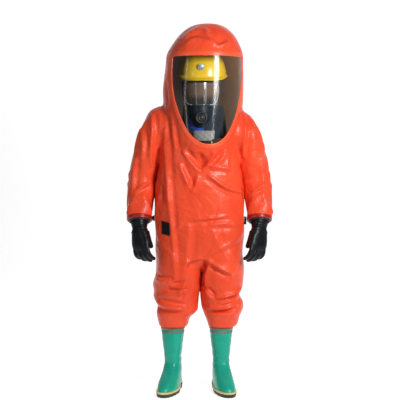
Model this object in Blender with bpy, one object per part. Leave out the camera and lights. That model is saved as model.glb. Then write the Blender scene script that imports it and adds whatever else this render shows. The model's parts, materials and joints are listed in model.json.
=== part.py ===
"""Gas-tight chemical protective suit, fully encapsulating, in its worn standing shape.

Metres, +Z up. The suit stands on its boots with the floor at Z = 0 and faces -Y, so the wearer's
left arm is at +X. Every outline is written about the wearer's upright axis; the empty called suit
moves the whole object back by BODY_Y, so that the origin is under the middle of its box.
"""

import math

import bmesh
import bpy
from mathutils import Matrix, Vector

# Driving dimensions
BODY_Y = -0.0285                # from the box's middle to the wearer's upright axis
FABRIC = 0.004                  # wall of the coated fabric with its folds pressed flat
GAP = 0.0005                    # between pieces that touch on the real suit
FLAT_ANGLE = math.radians(1)    # faces within this of one plane are one face
SEAM_TOLERANCE = 0.00001        # points of a cut edge closer than this are one point
CHEST_SPLIT_Z = 1.180           # seam under the arms
HOOD_SPLIT_Z = 1.470            # hood seam
BACK_LEAN = 0.1                 # the back leans out this much for each metre of height
BACK_AT_800 = 0.190             # depth of the back at Z = 0.8

HIP = Vector((0, 0, 0.820))
HIP_R = 0.190                   # round seam between pelvis and leg, about the hip axis
KNEE = Vector((0, 0, 0.500))
KNEE_R = 0.125
SHOULDER = Vector((0.1875, 0, 1.335))
ARMHOLE_R = 0.108
ARMHOLE_RECESS_R = 0.142
ELBOW = Vector((0.300, 0, 1.100))
ELBOW_R = 0.100

VISOR_YAW = math.radians(9)
VISOR_HALF_ANGLE = math.radians(60)
VISOR_TOP_Z, VISOR_SIDE_Z, VISOR_BOTTOM_Z = 1.715, 1.660, 1.270
VISOR_STRIP = 0.020             # width of the welded border round the visor

# (height, half width, front depth, back depth or None where the back follows its straight lean)
TORSO = [
    (0.56, 0.220, 0.150, 0.166), (0.70, 0.224, 0.158, None), (0.82, 0.229, 0.165, None),
    (0.96, 0.230, 0.172, None), (1.08, 0.226, 0.176, None), (1.16, 0.203, 0.178, None),
    (1.21, 0.1905, 0.177, None), (1.30, 0.1905, 0.172, None), (1.40, 0.1905, 0.160, None),
    (1.455, 0.178, 0.130, None), (1.476, 0.160, 0.100, 0.225), (1.57, 0.110, 0.040, 0.180),
]
TORSO_POWER = 3.0
TORSO_COUNT = 32

# (height, middle x, half width, front depth, back depth)
HOOD = [
    (1.12, 0.005, 0.120, 0.120, 0.100), (1.19, 0.010, 0.145, 0.175, 0.120),
    (1.25, 0.015, 0.170, 0.208, 0.150), (1.30, 0.017, 0.180, 0.214, 0.170),
    (1.40, 0.018, 0.196, 0.216, 0.215), (1.455, 0.018, 0.202, 0.216, 0.246),
    (1.50, 0.018, 0.206, 0.215, 0.252), (1.56, 0.020, 0.206, 0.214, 0.240),
    (1.66, 0.025, 0.200, 0.212, 0.215), (1.73, 0.028, 0.195, 0.207, 0.199),
    (1.78, 0.033, 0.172, 0.185, 0.185), (1.83, 0.038, 0.140, 0.150, 0.160),
    (1.865, 0.040, 0.100, 0.105, 0.120), (1.885, 0.040, 0.055, 0.060, 0.070),
    (1.890, 0.040, 0.020, 0.022, 0.025),
]
HOOD_POWER = 2.2
HOOD_COUNT = 32

# Sleeve stations: outer edge x, z; inner edge x, z; middle y; half depth; forward pitch in degrees
SLEEVE = [
    (0.1885, 1.450, 0.1885, 1.220, 0.000, 0.115, 0),
    (0.262, 1.420, 0.1900, 1.218, 0.000, 0.112, 0),
    (0.303, 1.350, 0.1930, 1.212, 0.000, 0.104, 0),
    (0.330, 1.262, 0.2070, 1.166, 0.000, 0.094, 0),
    (0.349, 1.180, 0.2270, 1.118, 0.000, 0.085, 3),
    (0.364, 1.100, 0.2380, 1.068, -0.002, 0.078, 10),
    (0.370, 1.010, 0.2400, 1.002, -0.025, 0.073, 18),
    (0.369, 0.903, 0.2420, 0.901, -0.067, 0.066, 22),
]
SLEEVE_COUNT = 20
FOREARM_PITCH = math.radians(22)
WRIST = Vector((0.3055, -0.0670, 0.902))    # middle of the left sleeve's end
CUFF_BORE_R, LOCK_R = 0.0550, 0.0540        # the glove's ring turns in the cuff ring

# Leg stations for the wearer's right leg (-X): height, outer x, inner x, half depth
RIGHT_LEG = [
    (0.716, -0.226, 0.010, 0.158), (0.640, -0.230, 0.009, 0.152), (0.560, -0.234, 0.000, 0.142),
    (0.500, -0.228, -0.012, 0.126), (0.440, -0.220, -0.040, 0.108), (0.400, -0.213, -0.058, 0.098),
    (0.370, -0.211, -0.064, 0.090),
]
LEFT_LEG = [
    (0.716, 0.228, 0.014, 0.158), (0.640, 0.229, 0.015, 0.152), (0.560, 0.226, 0.018, 0.142),
    (0.500, 0.222, 0.020, 0.126), (0.440, 0.212, 0.026, 0.108), (0.400, 0.192, 0.036, 0.098),
    (0.370, 0.185, 0.040, 0.090),
]
LEG_COUNT = 20
LEG_HOLE_LEDGE = 0.020          # the crotch panel reaches this far inside each leg's outline
LEG_POWER = 2.8
# Elastic leg cuffs about the boot: height, half width, half depth
LEG_CUFF = [(0.425, 0.0750, 0.0800), (0.380, 0.0745, 0.0800), (0.352, 0.0705, 0.0745)]
BOOT_TOP_Z = 0.368
BOOT_X = {"right": -0.1375, "left": 0.1125}
TOE_OUT = {"right": math.radians(-13), "left": math.radians(11)}

# Boot stations about the ankle: height, middle y, half width, front, back
BOOT = [
    (BOOT_TOP_Z, 0.000, 0.0600, 0.062, 0.064), (0.330, 0.000, 0.0590, 0.062, 0.064),
    (0.250, 0.000, 0.0515, 0.057, 0.061), (0.180, 0.000, 0.0430, 0.052, 0.057),
    (0.140, 0.000, 0.0420, 0.054, 0.060), (0.112, -0.010, 0.0440, 0.076, 0.077),
    (0.088, -0.030, 0.0470, 0.110, 0.104), (0.062, -0.052, 0.0505, 0.142, 0.132),
    (0.044, -0.060, 0.0520, 0.150, 0.142), (0.034, -0.062, 0.0515, 0.149, 0.143),
]
BOOT_WALL = 0.004
BOOT_POWER = 2.3
BOOT_COUNT = 20
BOOT_STAND_Y = 0.002            # the ankle's place on the floor
SOLE_Y = -0.062                 # middle of the sole
# Sole stations: height, half width, how much shorter than the longest
SOLE = [(0.0335, 0.0550, 0.0), (0.022, 0.0560, 0.0), (0.0, 0.0530, 0.004)]
CLAMP_HEIGHTS = (0.356, 0.366)

# Glove stations along the hand from the wrist ring: distance, half thickness, half width
GLOVE = [
    (-0.004, 0.0440, 0.0440), (0.022, 0.0415, 0.0425), (0.048, 0.031, 0.037), (0.080, 0.027, 0.043),
    (0.120, 0.023, 0.048), (0.150, 0.018, 0.046), (0.166, 0.010, 0.040),
]
FINGERS = [(-0.0345, 0.074), (-0.0118, 0.084), (0.0115, 0.078), (0.0335, 0.062)]
FINGER_R = 0.0115
HAND_TURN = math.radians(52)    # knuckles turned forward from facing sideways
HAND_INWARD = 0.16              # how far the hand leans inward for each metre below its cuff
GLOVE_CUFF = 0.030              # length of the cuff, which stays straight in its ring

# Zip down the straight back, and its cover flap
ZIP_LOW_Z, ZIP_TOP_Z = 0.760, 1.440
SLIDER_Z = 1.400                # the slider's place with the zip closed
FLAP_HALF, FLAP_HINGE_X = 0.045, 0.043
FLAP_ARCH = 0.0125              # the flap's rise over the slider

# Turns in degrees from +X round the torso, and heights
VALVE_TURNS, VALVE_Z = {"left": 48, "right": 132}, 1.330
VALVE_BORE_R = 0.017
VALVE_SEAT = 0.0085             # height of the seat over the skin
PASSTHROUGH_TURN, PASSTHROUGH_Z = 160, 0.885
PASSTHROUGH_BORE_R = 0.012
BELT_Z, BELT_HALF = 0.880, 0.019
BELT_TURNS = {"left": (8, 75), "right": (105, 148)}
PATCH_TURNS, PATCH_LOW_Z, PATCH_TOP_Z = (224, 238), 0.825, 0.890

# Helmet and mask
HEAD = Vector((0.018, 0.010, 0))
BRIM_Z, HELMET_RISE = 1.598, 0.158
CROWN_TAB_TOP_Z = 1.855
MASK_X = HEAD.x - 0.008
AIR_PORT_Z = 1.405              # height of the mask's connector and demand valve

COLOURS = {  # colour, roughness, metallic
    "suit_fabric": ((0.85, 0.10, 0.03), 0.35, 0.0),
    "visor_clear": ((0.90, 0.93, 0.92), 0.05, 0.0),
    "cuff_red": ((0.35, 0.01, 0.01), 0.4, 0.0),
    "glove_rubber": ((0.012, 0.013, 0.016), 0.4, 0.0),
    "boot_rubber": ((0.02, 0.42, 0.30), 0.35, 0.0),
    "sole_rubber": ((0.05, 0.06, 0.03), 0.6, 0.0),
    "black_plastic": ((0.015, 0.015, 0.015), 0.45, 0.0),
    "webbing": ((0.02, 0.02, 0.02), 0.8, 0.0),
    "helmet_yellow": ((0.85, 0.55, 0.02), 0.3, 0.0),
    "mask_navy": ((0.01, 0.02, 0.05), 0.4, 0.0),
    "bib_grey": ((0.35, 0.35, 0.35), 0.8, 0.0),
    "metal": ((0.6, 0.6, 0.6), 0.3, 1.0),
}


def clear_scene():
    for old in list(bpy.data.objects):
        bpy.data.objects.remove(old, do_unlink=True)


def make_materials():
    made = {}
    for name, (colour, roughness, metallic) in COLOURS.items():
        material = bpy.data.materials.new(name)
        material.use_nodes = True
        shader = material.node_tree.nodes["Principled BSDF"]
        shader.inputs["Base Color"].default_value = (*colour, 1)
        shader.inputs["Roughness"].default_value = roughness
        shader.inputs["Metallic"].default_value = metallic
        made[name] = material
    return made


# Meshes from rings of points

def build(name, vertices, faces):
    """A closed mesh object whose faces point out."""
    mesh = bpy.data.meshes.new(name)
    mesh.from_pydata([tuple(v) for v in vertices], [], faces)
    work = bmesh.new()
    work.from_mesh(mesh)
    bmesh.ops.recalc_face_normals(work, faces=work.faces)
    work.to_mesh(mesh)
    work.free()
    obj = bpy.data.objects.new(name, mesh)
    bpy.context.scene.collection.objects.link(obj)
    return obj


def bridge(first, second, count):
    """Quads between two rings of count points that start at these indices."""
    return [
        (first + i, first + (i + 1) % count, second + (i + 1) % count, second + i)
        for i in range(count)
    ]


def solid(name, rings):
    """A loft through rings of points, closed by a cap at each end."""
    count = len(rings[0])
    faces = [tuple(range(count)), tuple(range((len(rings) - 1) * count, len(rings) * count))]
    for k in range(len(rings) - 1):
        faces += bridge(k * count, (k + 1) * count, count)
    return build(name, [p for r in rings for p in r], faces)


def loop_solid(name, rings):
    """A loft through rings that closes on its first ring, such as a band or a hoop."""
    count = len(rings[0])
    faces = []
    for k in range(len(rings)):
        faces += bridge(k * count, (k + 1) % len(rings) * count, count)
    return build(name, [p for r in rings for p in r], faces)


def tube(name, outer, inner):
    """A wall between two lofts, open at both ends."""
    return loop_solid(name, outer + inner[::-1])


def cup(name, outer, inner):
    """A wall between two lofts, open at the first ring and closed at the last."""
    return solid(name, inner[::-1] + outer)


def turned(name, profile, count=20):
    """A profile of (radius, height) turned about Z; it closes on itself unless it ends on the axis."""
    open_ends = profile[0][0] == 0
    rounds = profile[1:-1] if open_ends else profile
    rings = [
        [Vector((r * math.cos(2 * math.pi * i / count), r * math.sin(2 * math.pi * i / count), h))
         for i in range(count)]
        for r, h in rounds
    ]
    if not open_ends:
        return loop_solid(name, rings)
    last = (len(rings) - 1) * count
    faces = []
    for k in range(len(rings) - 1):
        faces += bridge(k * count, (k + 1) * count, count)
    poles = [Vector((0, 0, profile[0][1])), Vector((0, 0, profile[-1][1]))]
    total = len(rings) * count
    faces += [(total, i, (i + 1) % count) for i in range(count)]
    faces += [(total + 1, last + (i + 1) % count, last + i) for i in range(count)]
    return build(name, [p for r in rings for p in r] + poles, faces)


def box(name, low, high):
    (x0, y0, z0), (x1, y1, z1) = low, high
    rings = [
        [Vector((x0, y0, z)), Vector((x1, y0, z)), Vector((x1, y1, z)), Vector((x0, y1, z))]
        for z in (z0, z1)
    ]
    return solid(name, rings)


def rod(name, start, end, radius, count=32):
    """A plain cylinder between two points."""
    start, end = Vector(start), Vector(end)
    turn = (end - start).to_track_quat("Z", "Y").to_matrix().to_4x4()
    obj = turned(name, [(0, 0), (radius, 0), (radius, (end - start).length),
                        (0, (end - start).length)], count)
    obj.data.transform(Matrix.Translation(start) @ turn)
    return obj


def boolean(target, cutter, operation="DIFFERENCE"):
    """Cuts, joins or intersects at once, and removes the cutter."""
    modifier = target.modifiers.new(operation.lower(), "BOOLEAN")
    modifier.operation = operation
    modifier.solver = "EXACT"
    modifier.object = cutter
    graph = bpy.context.evaluated_depsgraph_get()
    made = bpy.data.meshes.new_from_object(target.evaluated_get(graph))
    target.modifiers.clear()
    work = bmesh.new()
    work.from_mesh(made)
    bmesh.ops.remove_doubles(work, verts=work.verts, dist=SEAM_TOLERANCE)
    bmesh.ops.dissolve_degenerate(work, edges=work.edges, dist=SEAM_TOLERANCE)
    bmesh.ops.triangulate(work, faces=work.faces)
    work.to_mesh(made)
    work.free()
    target.data = made
    bpy.data.objects.remove(cutter, do_unlink=True)
    return target


def merge_flat(obj):
    """Joins faces that lie in almost one plane, to thin out the slivers that the cuts leave."""
    work = bmesh.new()
    work.from_mesh(obj.data)
    bmesh.ops.dissolve_limit(work, angle_limit=FLAT_ANGLE, verts=work.verts, edges=work.edges)
    bmesh.ops.triangulate(work, faces=work.faces)
    work.to_mesh(obj.data)
    work.free()


def signed_power(value, power):
    return math.copysign(abs(value) ** power, value)


def ring(cx, cy, z, half, front, back, power, count):
    """A level superellipse whose front (-Y) and back can be of different depth."""
    points = []
    for i in range(count):
        t = 2 * math.pi * i / count
        depth = front if math.sin(t) < 0 else back
        points.append(Vector((
            cx + half * signed_power(math.cos(t), 2 / power),
            cy + depth * signed_power(math.sin(t), 2 / power),
            z,
        )))
    return points


# The body surfaces

def back_depth(z, stated):
    return BACK_AT_800 + BACK_LEAN * (z - 0.8) if stated is None else stated


def torso_rings(inset):
    rings = [
        ring(0, 0, z, half - inset, front - inset, back_depth(z, back) - inset,
             TORSO_POWER, TORSO_COUNT)
        for z, half, front, back in TORSO
    ]
    rings[0] = [p - Vector((0, 0, 5 * inset)) for p in rings[0]]
    return rings


def torso_at(z):
    """Half width, front and back depth of the torso at a height."""
    for low, high in zip(TORSO, TORSO[1:]):
        if low[0] <= z <= high[0]:
            share = (z - low[0]) / (high[0] - low[0])
            half = low[1] + share * (high[1] - low[1])
            front = low[2] + share * (high[2] - low[2])
            backs = back_depth(low[0], low[3]), back_depth(high[0], high[3])
            return half, front, backs[0] + share * (backs[1] - backs[0])
    raise ValueError(f"no torso at {z}")


def torso_point(turn, z, out=0.0):
    """A point of the torso's skin at a turn in degrees from +X, moved out along its normal."""
    def skin(degrees, height):
        half, front, back = torso_at(height)
        t = math.radians(degrees)
        depth = front if math.sin(t) < 0 else back
        return Vector((half * signed_power(math.cos(t), 2 / TORSO_POWER),
                       depth * signed_power(math.sin(t), 2 / TORSO_POWER), height))

    here = skin(turn, z)
    along = skin(turn + 1, z) - skin(turn - 1, z)
    up = skin(turn, z + 0.01) - skin(turn, z - 0.01)
    normal = along.cross(up).normalized()
    return here + normal * out, normal


def hood_at(z):
    """Middle x, half width, front and back depth of the hood at a height."""
    for low, high in zip(HOOD, HOOD[1:]):
        if low[0] <= z <= high[0]:
            share = (z - low[0]) / (high[0] - low[0])
            return [a + share * (b - a) for a, b in zip(low[1:], high[1:])]
    raise ValueError(f"no hood at {z}")


def hood_point(angle, z, out=0.0):
    """A point of the hood's skin, angle measured from straight ahead towards +X."""
    middle, half, front, back = hood_at(z)
    depth = front if math.cos(angle) > 0 else back
    reach = (
        abs(math.sin(angle) / half) ** HOOD_POWER + abs(math.cos(angle) / depth) ** HOOD_POWER
    ) ** (-1 / HOOD_POWER) + out
    return Vector((middle + reach * math.sin(angle), -reach * math.cos(angle), z))


def hood_rings(inset):
    heights = [row[0] for row in HOOD]
    heights[-1] -= 2 * inset
    heights[-2] -= inset
    return [
        [hood_point(2 * math.pi * i / HOOD_COUNT, row[0], -min(inset, 0.8 * row[2]))
         - Vector((0, 0, row[0] - z)) for i in range(HOOD_COUNT)]
        for row, z in zip(HOOD, heights)
    ]


def body_solid(name, inset):
    """Torso and hood as one solid, with flat faces at the armholes."""
    body = solid(name, torso_rings(inset))
    boolean(body, solid("hood_part", hood_rings(inset)), "UNION")
    for side in (-1, 1):
        wall = side * (SHOULDER.x - GAP - inset)
        boolean(body, rod("recess", (wall, 0, SHOULDER.z), (side * 0.5, 0, SHOULDER.z),
                          ARMHOLE_RECESS_R + inset))
    return body


# Panels that follow a surface: surface(angle, z, out) gives the point

def panel(name, surface, rows, low, high, columns=16, turn=0.0):
    """A curved plate. rows are (half angle, height); low and high are its two faces' distances out."""
    def grid(out):
        return [
            [surface(turn + half * (2 * i / columns - 1), z, out) for i in range(columns + 1)]
            for half, z in rows
        ]

    outside, inside = grid(high), grid(low)
    rings = [front + back[::-1] for front, back in zip(outside, inside)]
    return solid(name, rings)


def band(name, surface, outline, width, low, high, turn=0.0, radius=0.21):
    """A strip centred on a closed outline of (angle, height) points."""
    rings = []
    for k, (angle, z) in enumerate(outline):
        before, after = outline[k - 1], outline[(k + 1) % len(outline)]
        along = Vector(((after[0] - before[0]) * radius, after[1] - before[1]))
        normal = Vector((along.y, -along.x)).normalized() * width / 2
        edges = [
            (turn + angle + side * normal.x / radius, z + side * normal.y) for side in (-1, 1)
        ]
        rings.append([
            surface(*edges[0], low), surface(*edges[1], low),
            surface(*edges[1], high), surface(*edges[0], high),
        ])
    return loop_solid(name, rings)


def u_rows(half_angle, top_z, side_z, bottom_z, steps):
    """Rows of a U-shaped window: round at the bottom, upright at the sides, level at the top."""
    rows = []
    for k in range(steps + 1):
        t = math.radians(6 + 84 * k / steps)
        rows.append((half_angle * math.sin(t),
                     side_z - (side_z - bottom_z) * math.cos(t) ** (2 / 1.3)))
    return rows + [(half_angle, (side_z + top_z) / 2), (half_angle, top_z)]


def u_outline(rows, top_points):
    """The closed outline of the same window, up its +X side and down the other."""
    half = rows[-1][0]
    top = [(half * (1 - 2 * i / top_points), rows[-1][1]) for i in range(1, top_points)]
    return [(0, rows[0][1])] + rows + top + [(-a, z) for a, z in rows[::-1]]


def divided(outline, step=math.radians(12)):
    """The same closed outline with points added so that none are further apart in angle."""
    points = []
    for (a0, z0), (a1, z1) in zip(outline, outline[1:] + outline[:1]):
        pieces = max(1, math.ceil(abs(a1 - a0) / step))
        points += [(a0 + (a1 - a0) * i / pieces, z0 + (z1 - z0) * i / pieces)
                   for i in range(pieces)]
    return points


def visor_rows(steps=10):
    return u_rows(VISOR_HALF_ANGLE, VISOR_TOP_Z, VISOR_SIDE_Z, VISOR_BOTTOM_Z, steps)


def grown(rows, by, radius=0.21):
    """The rows of a window that is larger by this much all round."""
    grown_rows = []
    for k, (half, z) in enumerate(rows):
        before, after = rows[max(k - 1, 0)], rows[min(k + 1, len(rows) - 1)]
        along = Vector(((after[0] - before[0]) * radius, after[1] - before[1])).normalized()
        grown_rows.append((half + by * along.y / radius, z - by * along.x))
    grown_rows[0] = (grown_rows[0][0] + by / radius, rows[0][1] - by)
    grown_rows[-1] = (grown_rows[-1][0], rows[-1][1] + by)
    return grown_rows


# Joint axes and parenting

def make_pivot(name, place, parent=None):
    """An empty on a joint's axis. place is measured from the wearer's axis on the floor."""
    empty = bpy.data.objects.new(name, None)
    bpy.context.scene.collection.objects.link(empty)
    empty["place"] = list(place)
    empty.location = Vector(place)
    if parent:
        empty.parent = parent
        empty.location -= Vector(parent["place"])
    return empty


def attach(obj, pivot, material):
    """Hangs a piece on its joint's empty, with the piece's own origin on the axis."""
    place = Vector(pivot["place"])
    obj.data.transform(Matrix.Translation(-place))
    obj.parent = pivot
    obj.data.materials.clear()
    obj.data.materials.append(MATERIALS[material])
    obj.data.shade_smooth()
    obj.data.set_sharp_from_angle(angle=math.radians(40))
    return obj


# The suit's body

def level_part(whole, name, low_z, high_z):
    """The part of a shell between two levels, short of the upper one by the gap."""
    part = whole.copy()
    part.data = whole.data.copy()
    part.name = name
    bpy.context.scene.collection.objects.link(part)
    boolean(part, box("below", (-1, -1, -1), (1, 1, low_z)))
    boolean(part, box("above", (-1, -1, high_z - GAP), (1, 1, 3)))
    merge_flat(part)
    return part


def make_body(root):
    """Torso, chest and hood shells with their openings, cut from one body."""
    skin, hollow = body_solid("body_shell", 0), body_solid("hollow", FABRIC)
    boolean(skin, round_cut("below_hip", HIP, HIP_R))
    boolean(hollow, round_cut("below_hip", HIP, HIP_R - FABRIC))
    boolean(skin, hollow)
    for stations in (RIGHT_LEG, LEFT_LEG):
        hole = leg_rings(stations[:3], LEG_HOLE_LEDGE)
        hole[0] = [p + Vector((0, 0, LEG_HOLE_LEDGE)) for p in hole[0]]
        boolean(skin, solid("leg_hole", hole))
    for side in (-1, 1):
        boolean(skin, rod("armhole", (side * 0.1, 0, SHOULDER.z), (side * 0.3, 0, SHOULDER.z),
                          ARMHOLE_R))
    window = panel("window", hood_point, grown(visor_rows(), GAP), -0.010, 0.010, turn=VISOR_YAW)
    boolean(skin, window)
    boolean(skin, box("zip_slit", (-0.003, 0.1, ZIP_LOW_Z + 0.01), (0.003, 0.4, ZIP_TOP_Z - 0.05)))
    ports = [(turn, VALVE_Z, VALVE_BORE_R) for turn in VALVE_TURNS.values()]
    ports.append((PASSTHROUGH_TURN, PASSTHROUGH_Z, PASSTHROUGH_BORE_R))
    for turn, z, radius in ports:
        place, normal = torso_point(turn, z)
        boolean(skin, rod("port", place - normal * 0.03, place + normal * 0.03, radius, 20))
    top_z = HOOD[-1][0] + 0.1
    for name, low_z, high_z in (("torso_shell", 0, CHEST_SPLIT_Z),
                                ("chest_shell", CHEST_SPLIT_Z, HOOD_SPLIT_Z),
                                ("hood_shell", HOOD_SPLIT_Z, top_z)):
        attach(level_part(skin, name, low_z, high_z), root, "suit_fabric")
    bpy.data.objects.remove(skin, do_unlink=True)


def make_visor(root):
    rows = visor_rows()
    lens = panel("visor_lens", hood_point, grown(rows, -GAP), -0.003, -0.001, turn=VISOR_YAW)
    attach(lens, root, "visor_clear")
    frame = band("visor_frame", hood_point, u_outline(rows, 14), VISOR_STRIP, 0.0018, 0.0042,
                 turn=VISOR_YAW)
    attach(frame, root, "suit_fabric")


# Zip on the straight back

def on_back(x, out, z):
    """A point in the plane of the straight back, out from it."""
    return Vector((x, back_depth(z, None) + out, z))


def back_strip(name, low_z, high_z, outline):
    """A strip up the back with the same (x, out) outline all along."""
    return solid(name, [[on_back(x, out, z) for x, out in outline] for z in (low_z, high_z)])


def back_bar(name, half, low_out, high_out, low_z, high_z):
    return back_strip(name, low_z, high_z, [(-half, low_out), (half, low_out),
                                            (half, high_out), (-half, high_out)])


def make_zip(root):
    attach(back_bar("zip_tape", 0.022, GAP, 0.0020, ZIP_LOW_Z, ZIP_TOP_Z), root, "webbing")
    attach(back_bar("zip_chain", 0.0045, 0.0025, 0.0055, ZIP_LOW_Z + 0.01, ZIP_TOP_Z - 0.01),
           root, "metal")
    travel = make_pivot("zip_slide", on_back(0, 0.004, SLIDER_Z), root)
    slider = back_bar("zip_slider", 0.009, 0.0025, 0.0105, SLIDER_Z - 0.012, SLIDER_Z + 0.012)
    channel = back_bar("channel", 0.0052, 0.0, 0.0062, SLIDER_Z - 0.03, SLIDER_Z + 0.03)
    attach(boolean(slider, channel), travel, "metal")
    pull = back_bar("zip_pull", 0.007, 0.0112, 0.0138, SLIDER_Z - 0.046, SLIDER_Z - 0.001)
    hole = back_bar("hole", 0.0035, 0.0, 0.03, SLIDER_Z - 0.042, SLIDER_Z - 0.030)
    attach(boolean(pull, hole), travel, "metal")
    hinge = make_pivot("zip_flap_hinge", on_back(FLAP_HINGE_X, 0.0035, (ZIP_LOW_Z + ZIP_TOP_Z) / 2),
                       root)
    outline_out = [
        (FLAP_HINGE_X - 2 * FLAP_HALF * i / 8,
         0.0055 + FLAP_ARCH * math.sin(math.pi * min(1, max(0, (i - 0.3) / 7.4))) ** 0.6)
        for i in range(9)
    ]
    outline = outline_out + [(x, out - 0.002) for x, out in outline_out[::-1]]
    attach(back_strip("zip_flap", ZIP_LOW_Z - 0.012, ZIP_TOP_Z + 0.012, outline), hinge,
           "suit_fabric")


# Valves and the air-line fitting

def on_torso(obj, degrees, z):
    """Stands a piece modelled along +Z on the torso's skin."""
    place, normal = torso_point(degrees, z)
    turn = normal.to_track_quat("Z", "Y").to_matrix().to_4x4()
    obj.data.transform(Matrix.Translation(place) @ turn)
    return obj


def make_valve(root, side, degrees):
    flange = turned(f"valve_flange_{side}", [
        (VALVE_BORE_R, 0.0052), (0.036, 0.0052), (0.036, 0.0080), (0.022, VALVE_SEAT),
        (VALVE_BORE_R, VALVE_SEAT)])
    attach(on_torso(flange, degrees, VALVE_Z), root, "black_plastic")
    cap = turned(f"valve_cap_{side}", [
        (0, 0.0240), (0.0260, 0.0230), (0.0325, 0.0185), (0.0325, 0.0085), (0.0292, 0.0085),
        (0.0292, 0.0170), (0.0240, 0.0200), (0, 0.0210)])
    for turn in range(3):
        slot = box("slot", (-0.05, -0.004, 0.0120), (0.05, 0.004, 0.0155))
        slot.data.transform(Matrix.Rotation(math.radians(60 * turn), 4, "Z"))
        boolean(cap, slot)
    attach(on_torso(cap, degrees, VALVE_Z), root, "black_plastic")
    place, normal = torso_point(degrees, VALVE_Z, VALVE_SEAT)
    travel = make_pivot(f"valve_lift_{side}", place, root)
    disc = turned(f"valve_disc_{side}", [(0, 0.0089), (0.0240, 0.0089), (0.0240, 0.0110),
                                         (0.004, 0.0125), (0, 0.0125)])
    attach(on_torso(disc, degrees, VALVE_Z), travel, "glove_rubber")


def make_passthrough(root):
    flange = turned("passthrough_flange", [(0.0125, 0.0035), (0.0270, 0.0035), (0.0270, 0.0065),
                                           (0.0125, 0.0065)])
    attach(on_torso(flange, PASSTHROUGH_TURN, PASSTHROUGH_Z), root, "black_plastic")
    body = turned("passthrough_body", [(0.0070, 0.0070), (0.0165, 0.0070), (0.0165, 0.0200),
                                       (0.0125, 0.0225), (0.0125, 0.0360), (0.0070, 0.0360)])
    attach(on_torso(body, PASSTHROUGH_TURN, PASSTHROUGH_Z), root, "black_plastic")
    place, _ = torso_point(PASSTHROUGH_TURN, PASSTHROUGH_Z, 0.0365)
    travel = make_pivot("passthrough_cap_pull", place, root)
    cap = turned("passthrough_cap", [(0, 0.0365), (0.0145, 0.0365), (0.0145, 0.0460),
                                     (0.0110, 0.0500), (0, 0.0500)])
    attach(on_torso(cap, PASSTHROUGH_TURN, PASSTHROUGH_Z), travel, "black_plastic")


# Belt round the back and the hook-and-loop patch

def torso_strip(name, turns, low_z, high_z, low, high, steps):
    """A strip that follows the torso's skin between two turns."""
    rings = []
    for k in range(steps + 1):
        degrees = turns[0] + (turns[1] - turns[0]) * k / steps
        rings.append([torso_point(degrees, z, out)[0]
                      for z, out in ((low_z, low), (high_z, low), (high_z, high), (low_z, high))])
    return solid(name, rings)


def make_belt(root):
    low, high = BELT_Z - BELT_HALF, BELT_Z + BELT_HALF
    for side, turns in BELT_TURNS.items():
        strap = torso_strip(f"belt_webbing_{side}", turns, low, high, 0.0010, 0.0030, 10)
        attach(strap, root, "webbing")
    place, _ = torso_point(0, BELT_Z, 0.005)
    socket = box("belt_buckle_socket", (0, 0, 0), (0.010, 0.028, 0.040))
    pocket = box("pocket", (0.0025, -0.010, 0.008), (0.0075, 0.020, 0.032))
    boolean(socket, pocket)
    socket.data.transform(Matrix.Translation((place.x - 0.003, -0.012, BELT_Z - 0.020)))
    attach(socket, root, "black_plastic")
    travel = make_pivot("belt_buckle_slide", (place.x + 0.002, -0.030, BELT_Z), root)
    tongue = box("belt_buckle_tongue", (0.003, -0.020, 0.0085), (0.007, 0.018, 0.0315))
    boolean(tongue, box("head", (0.0005, -0.021, 0.002), (0.0095, -0.002, 0.038)), "UNION")
    tongue.data.transform(Matrix.Translation((place.x - 0.003, -0.012, BELT_Z - 0.020)))
    attach(tongue, travel, "black_plastic")
    patch = torso_strip("hook_patch", PATCH_TURNS, PATCH_LOW_Z, PATCH_TOP_Z, 0.0010, 0.0030, 5)
    attach(patch, root, "webbing")


# Helmet and mask inside the hood

def head_ring(z, half, front, back, count=28, power=2.3):
    return ring(HEAD.x, HEAD.y, z, half, front, back, power, count)


def make_helmet(root):
    outer = [head_ring(BRIM_Z, 0.127, 0.172, 0.138),
             head_ring(BRIM_Z + 0.006, 0.127, 0.170, 0.138)]
    inner = [head_ring(BRIM_Z, 0.111, 0.132, 0.122)]
    for k in range(6):
        t = math.radians(78 * k / 5)
        width, z = math.cos(t) ** 0.8, BRIM_Z + 0.014 + (HELMET_RISE - 0.014) * math.sin(t)
        outer.append(head_ring(z, 0.1150 * width, 0.138 * width, 0.126 * width))
        inner.append(head_ring(z - 0.004 * math.sin(t), 0.1115 * width, 0.1345 * width,
                               0.1225 * width))
    attach(cup("helmet_shell", outer, inner), root, "helmet_yellow")
    badge = turned("helmet_badge", [(0, 0.0), (0.0165, 0.0), (0.0165, 0.0022), (0, 0.0030)])
    badge.data.transform(Matrix.Translation((HEAD.x - 0.012, HEAD.y - 0.1415, 1.655))
                         @ Matrix.Rotation(math.radians(97), 4, "X"))
    attach(badge, root, "black_plastic")
    hoop = tube("helmet_headband",
                [head_ring(z, 0.100, 0.118, 0.104) for z in (1.600, 1.632)],
                [head_ring(z, 0.098, 0.116, 0.102) for z in (1.600, 1.632)])
    attach(hoop, root, "black_plastic")
    knob_y = HEAD.y + 0.1050
    spin = make_pivot("helmet_knob_spin", (HEAD.x, knob_y, 1.616), root)
    knob = turned("helmet_knob", [(0, 0.0), (0.013, 0.0), (0.013, 0.009), (0.011, 0.011),
                                  (0, 0.011)], 12)
    knob.data.transform(Matrix.Translation((HEAD.x, knob_y, 1.616))
                        @ Matrix.Rotation(math.radians(-90), 4, "X"))
    attach(knob, spin, "black_plastic")
    tab = box("helmet_crown_tab", (HEAD.x - 0.025, HEAD.y - 0.025, BRIM_Z + HELMET_RISE + 0.002),
              (HEAD.x + 0.025, HEAD.y + 0.025, CROWN_TAB_TOP_Z))
    attach(tab, root, "webbing")


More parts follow.
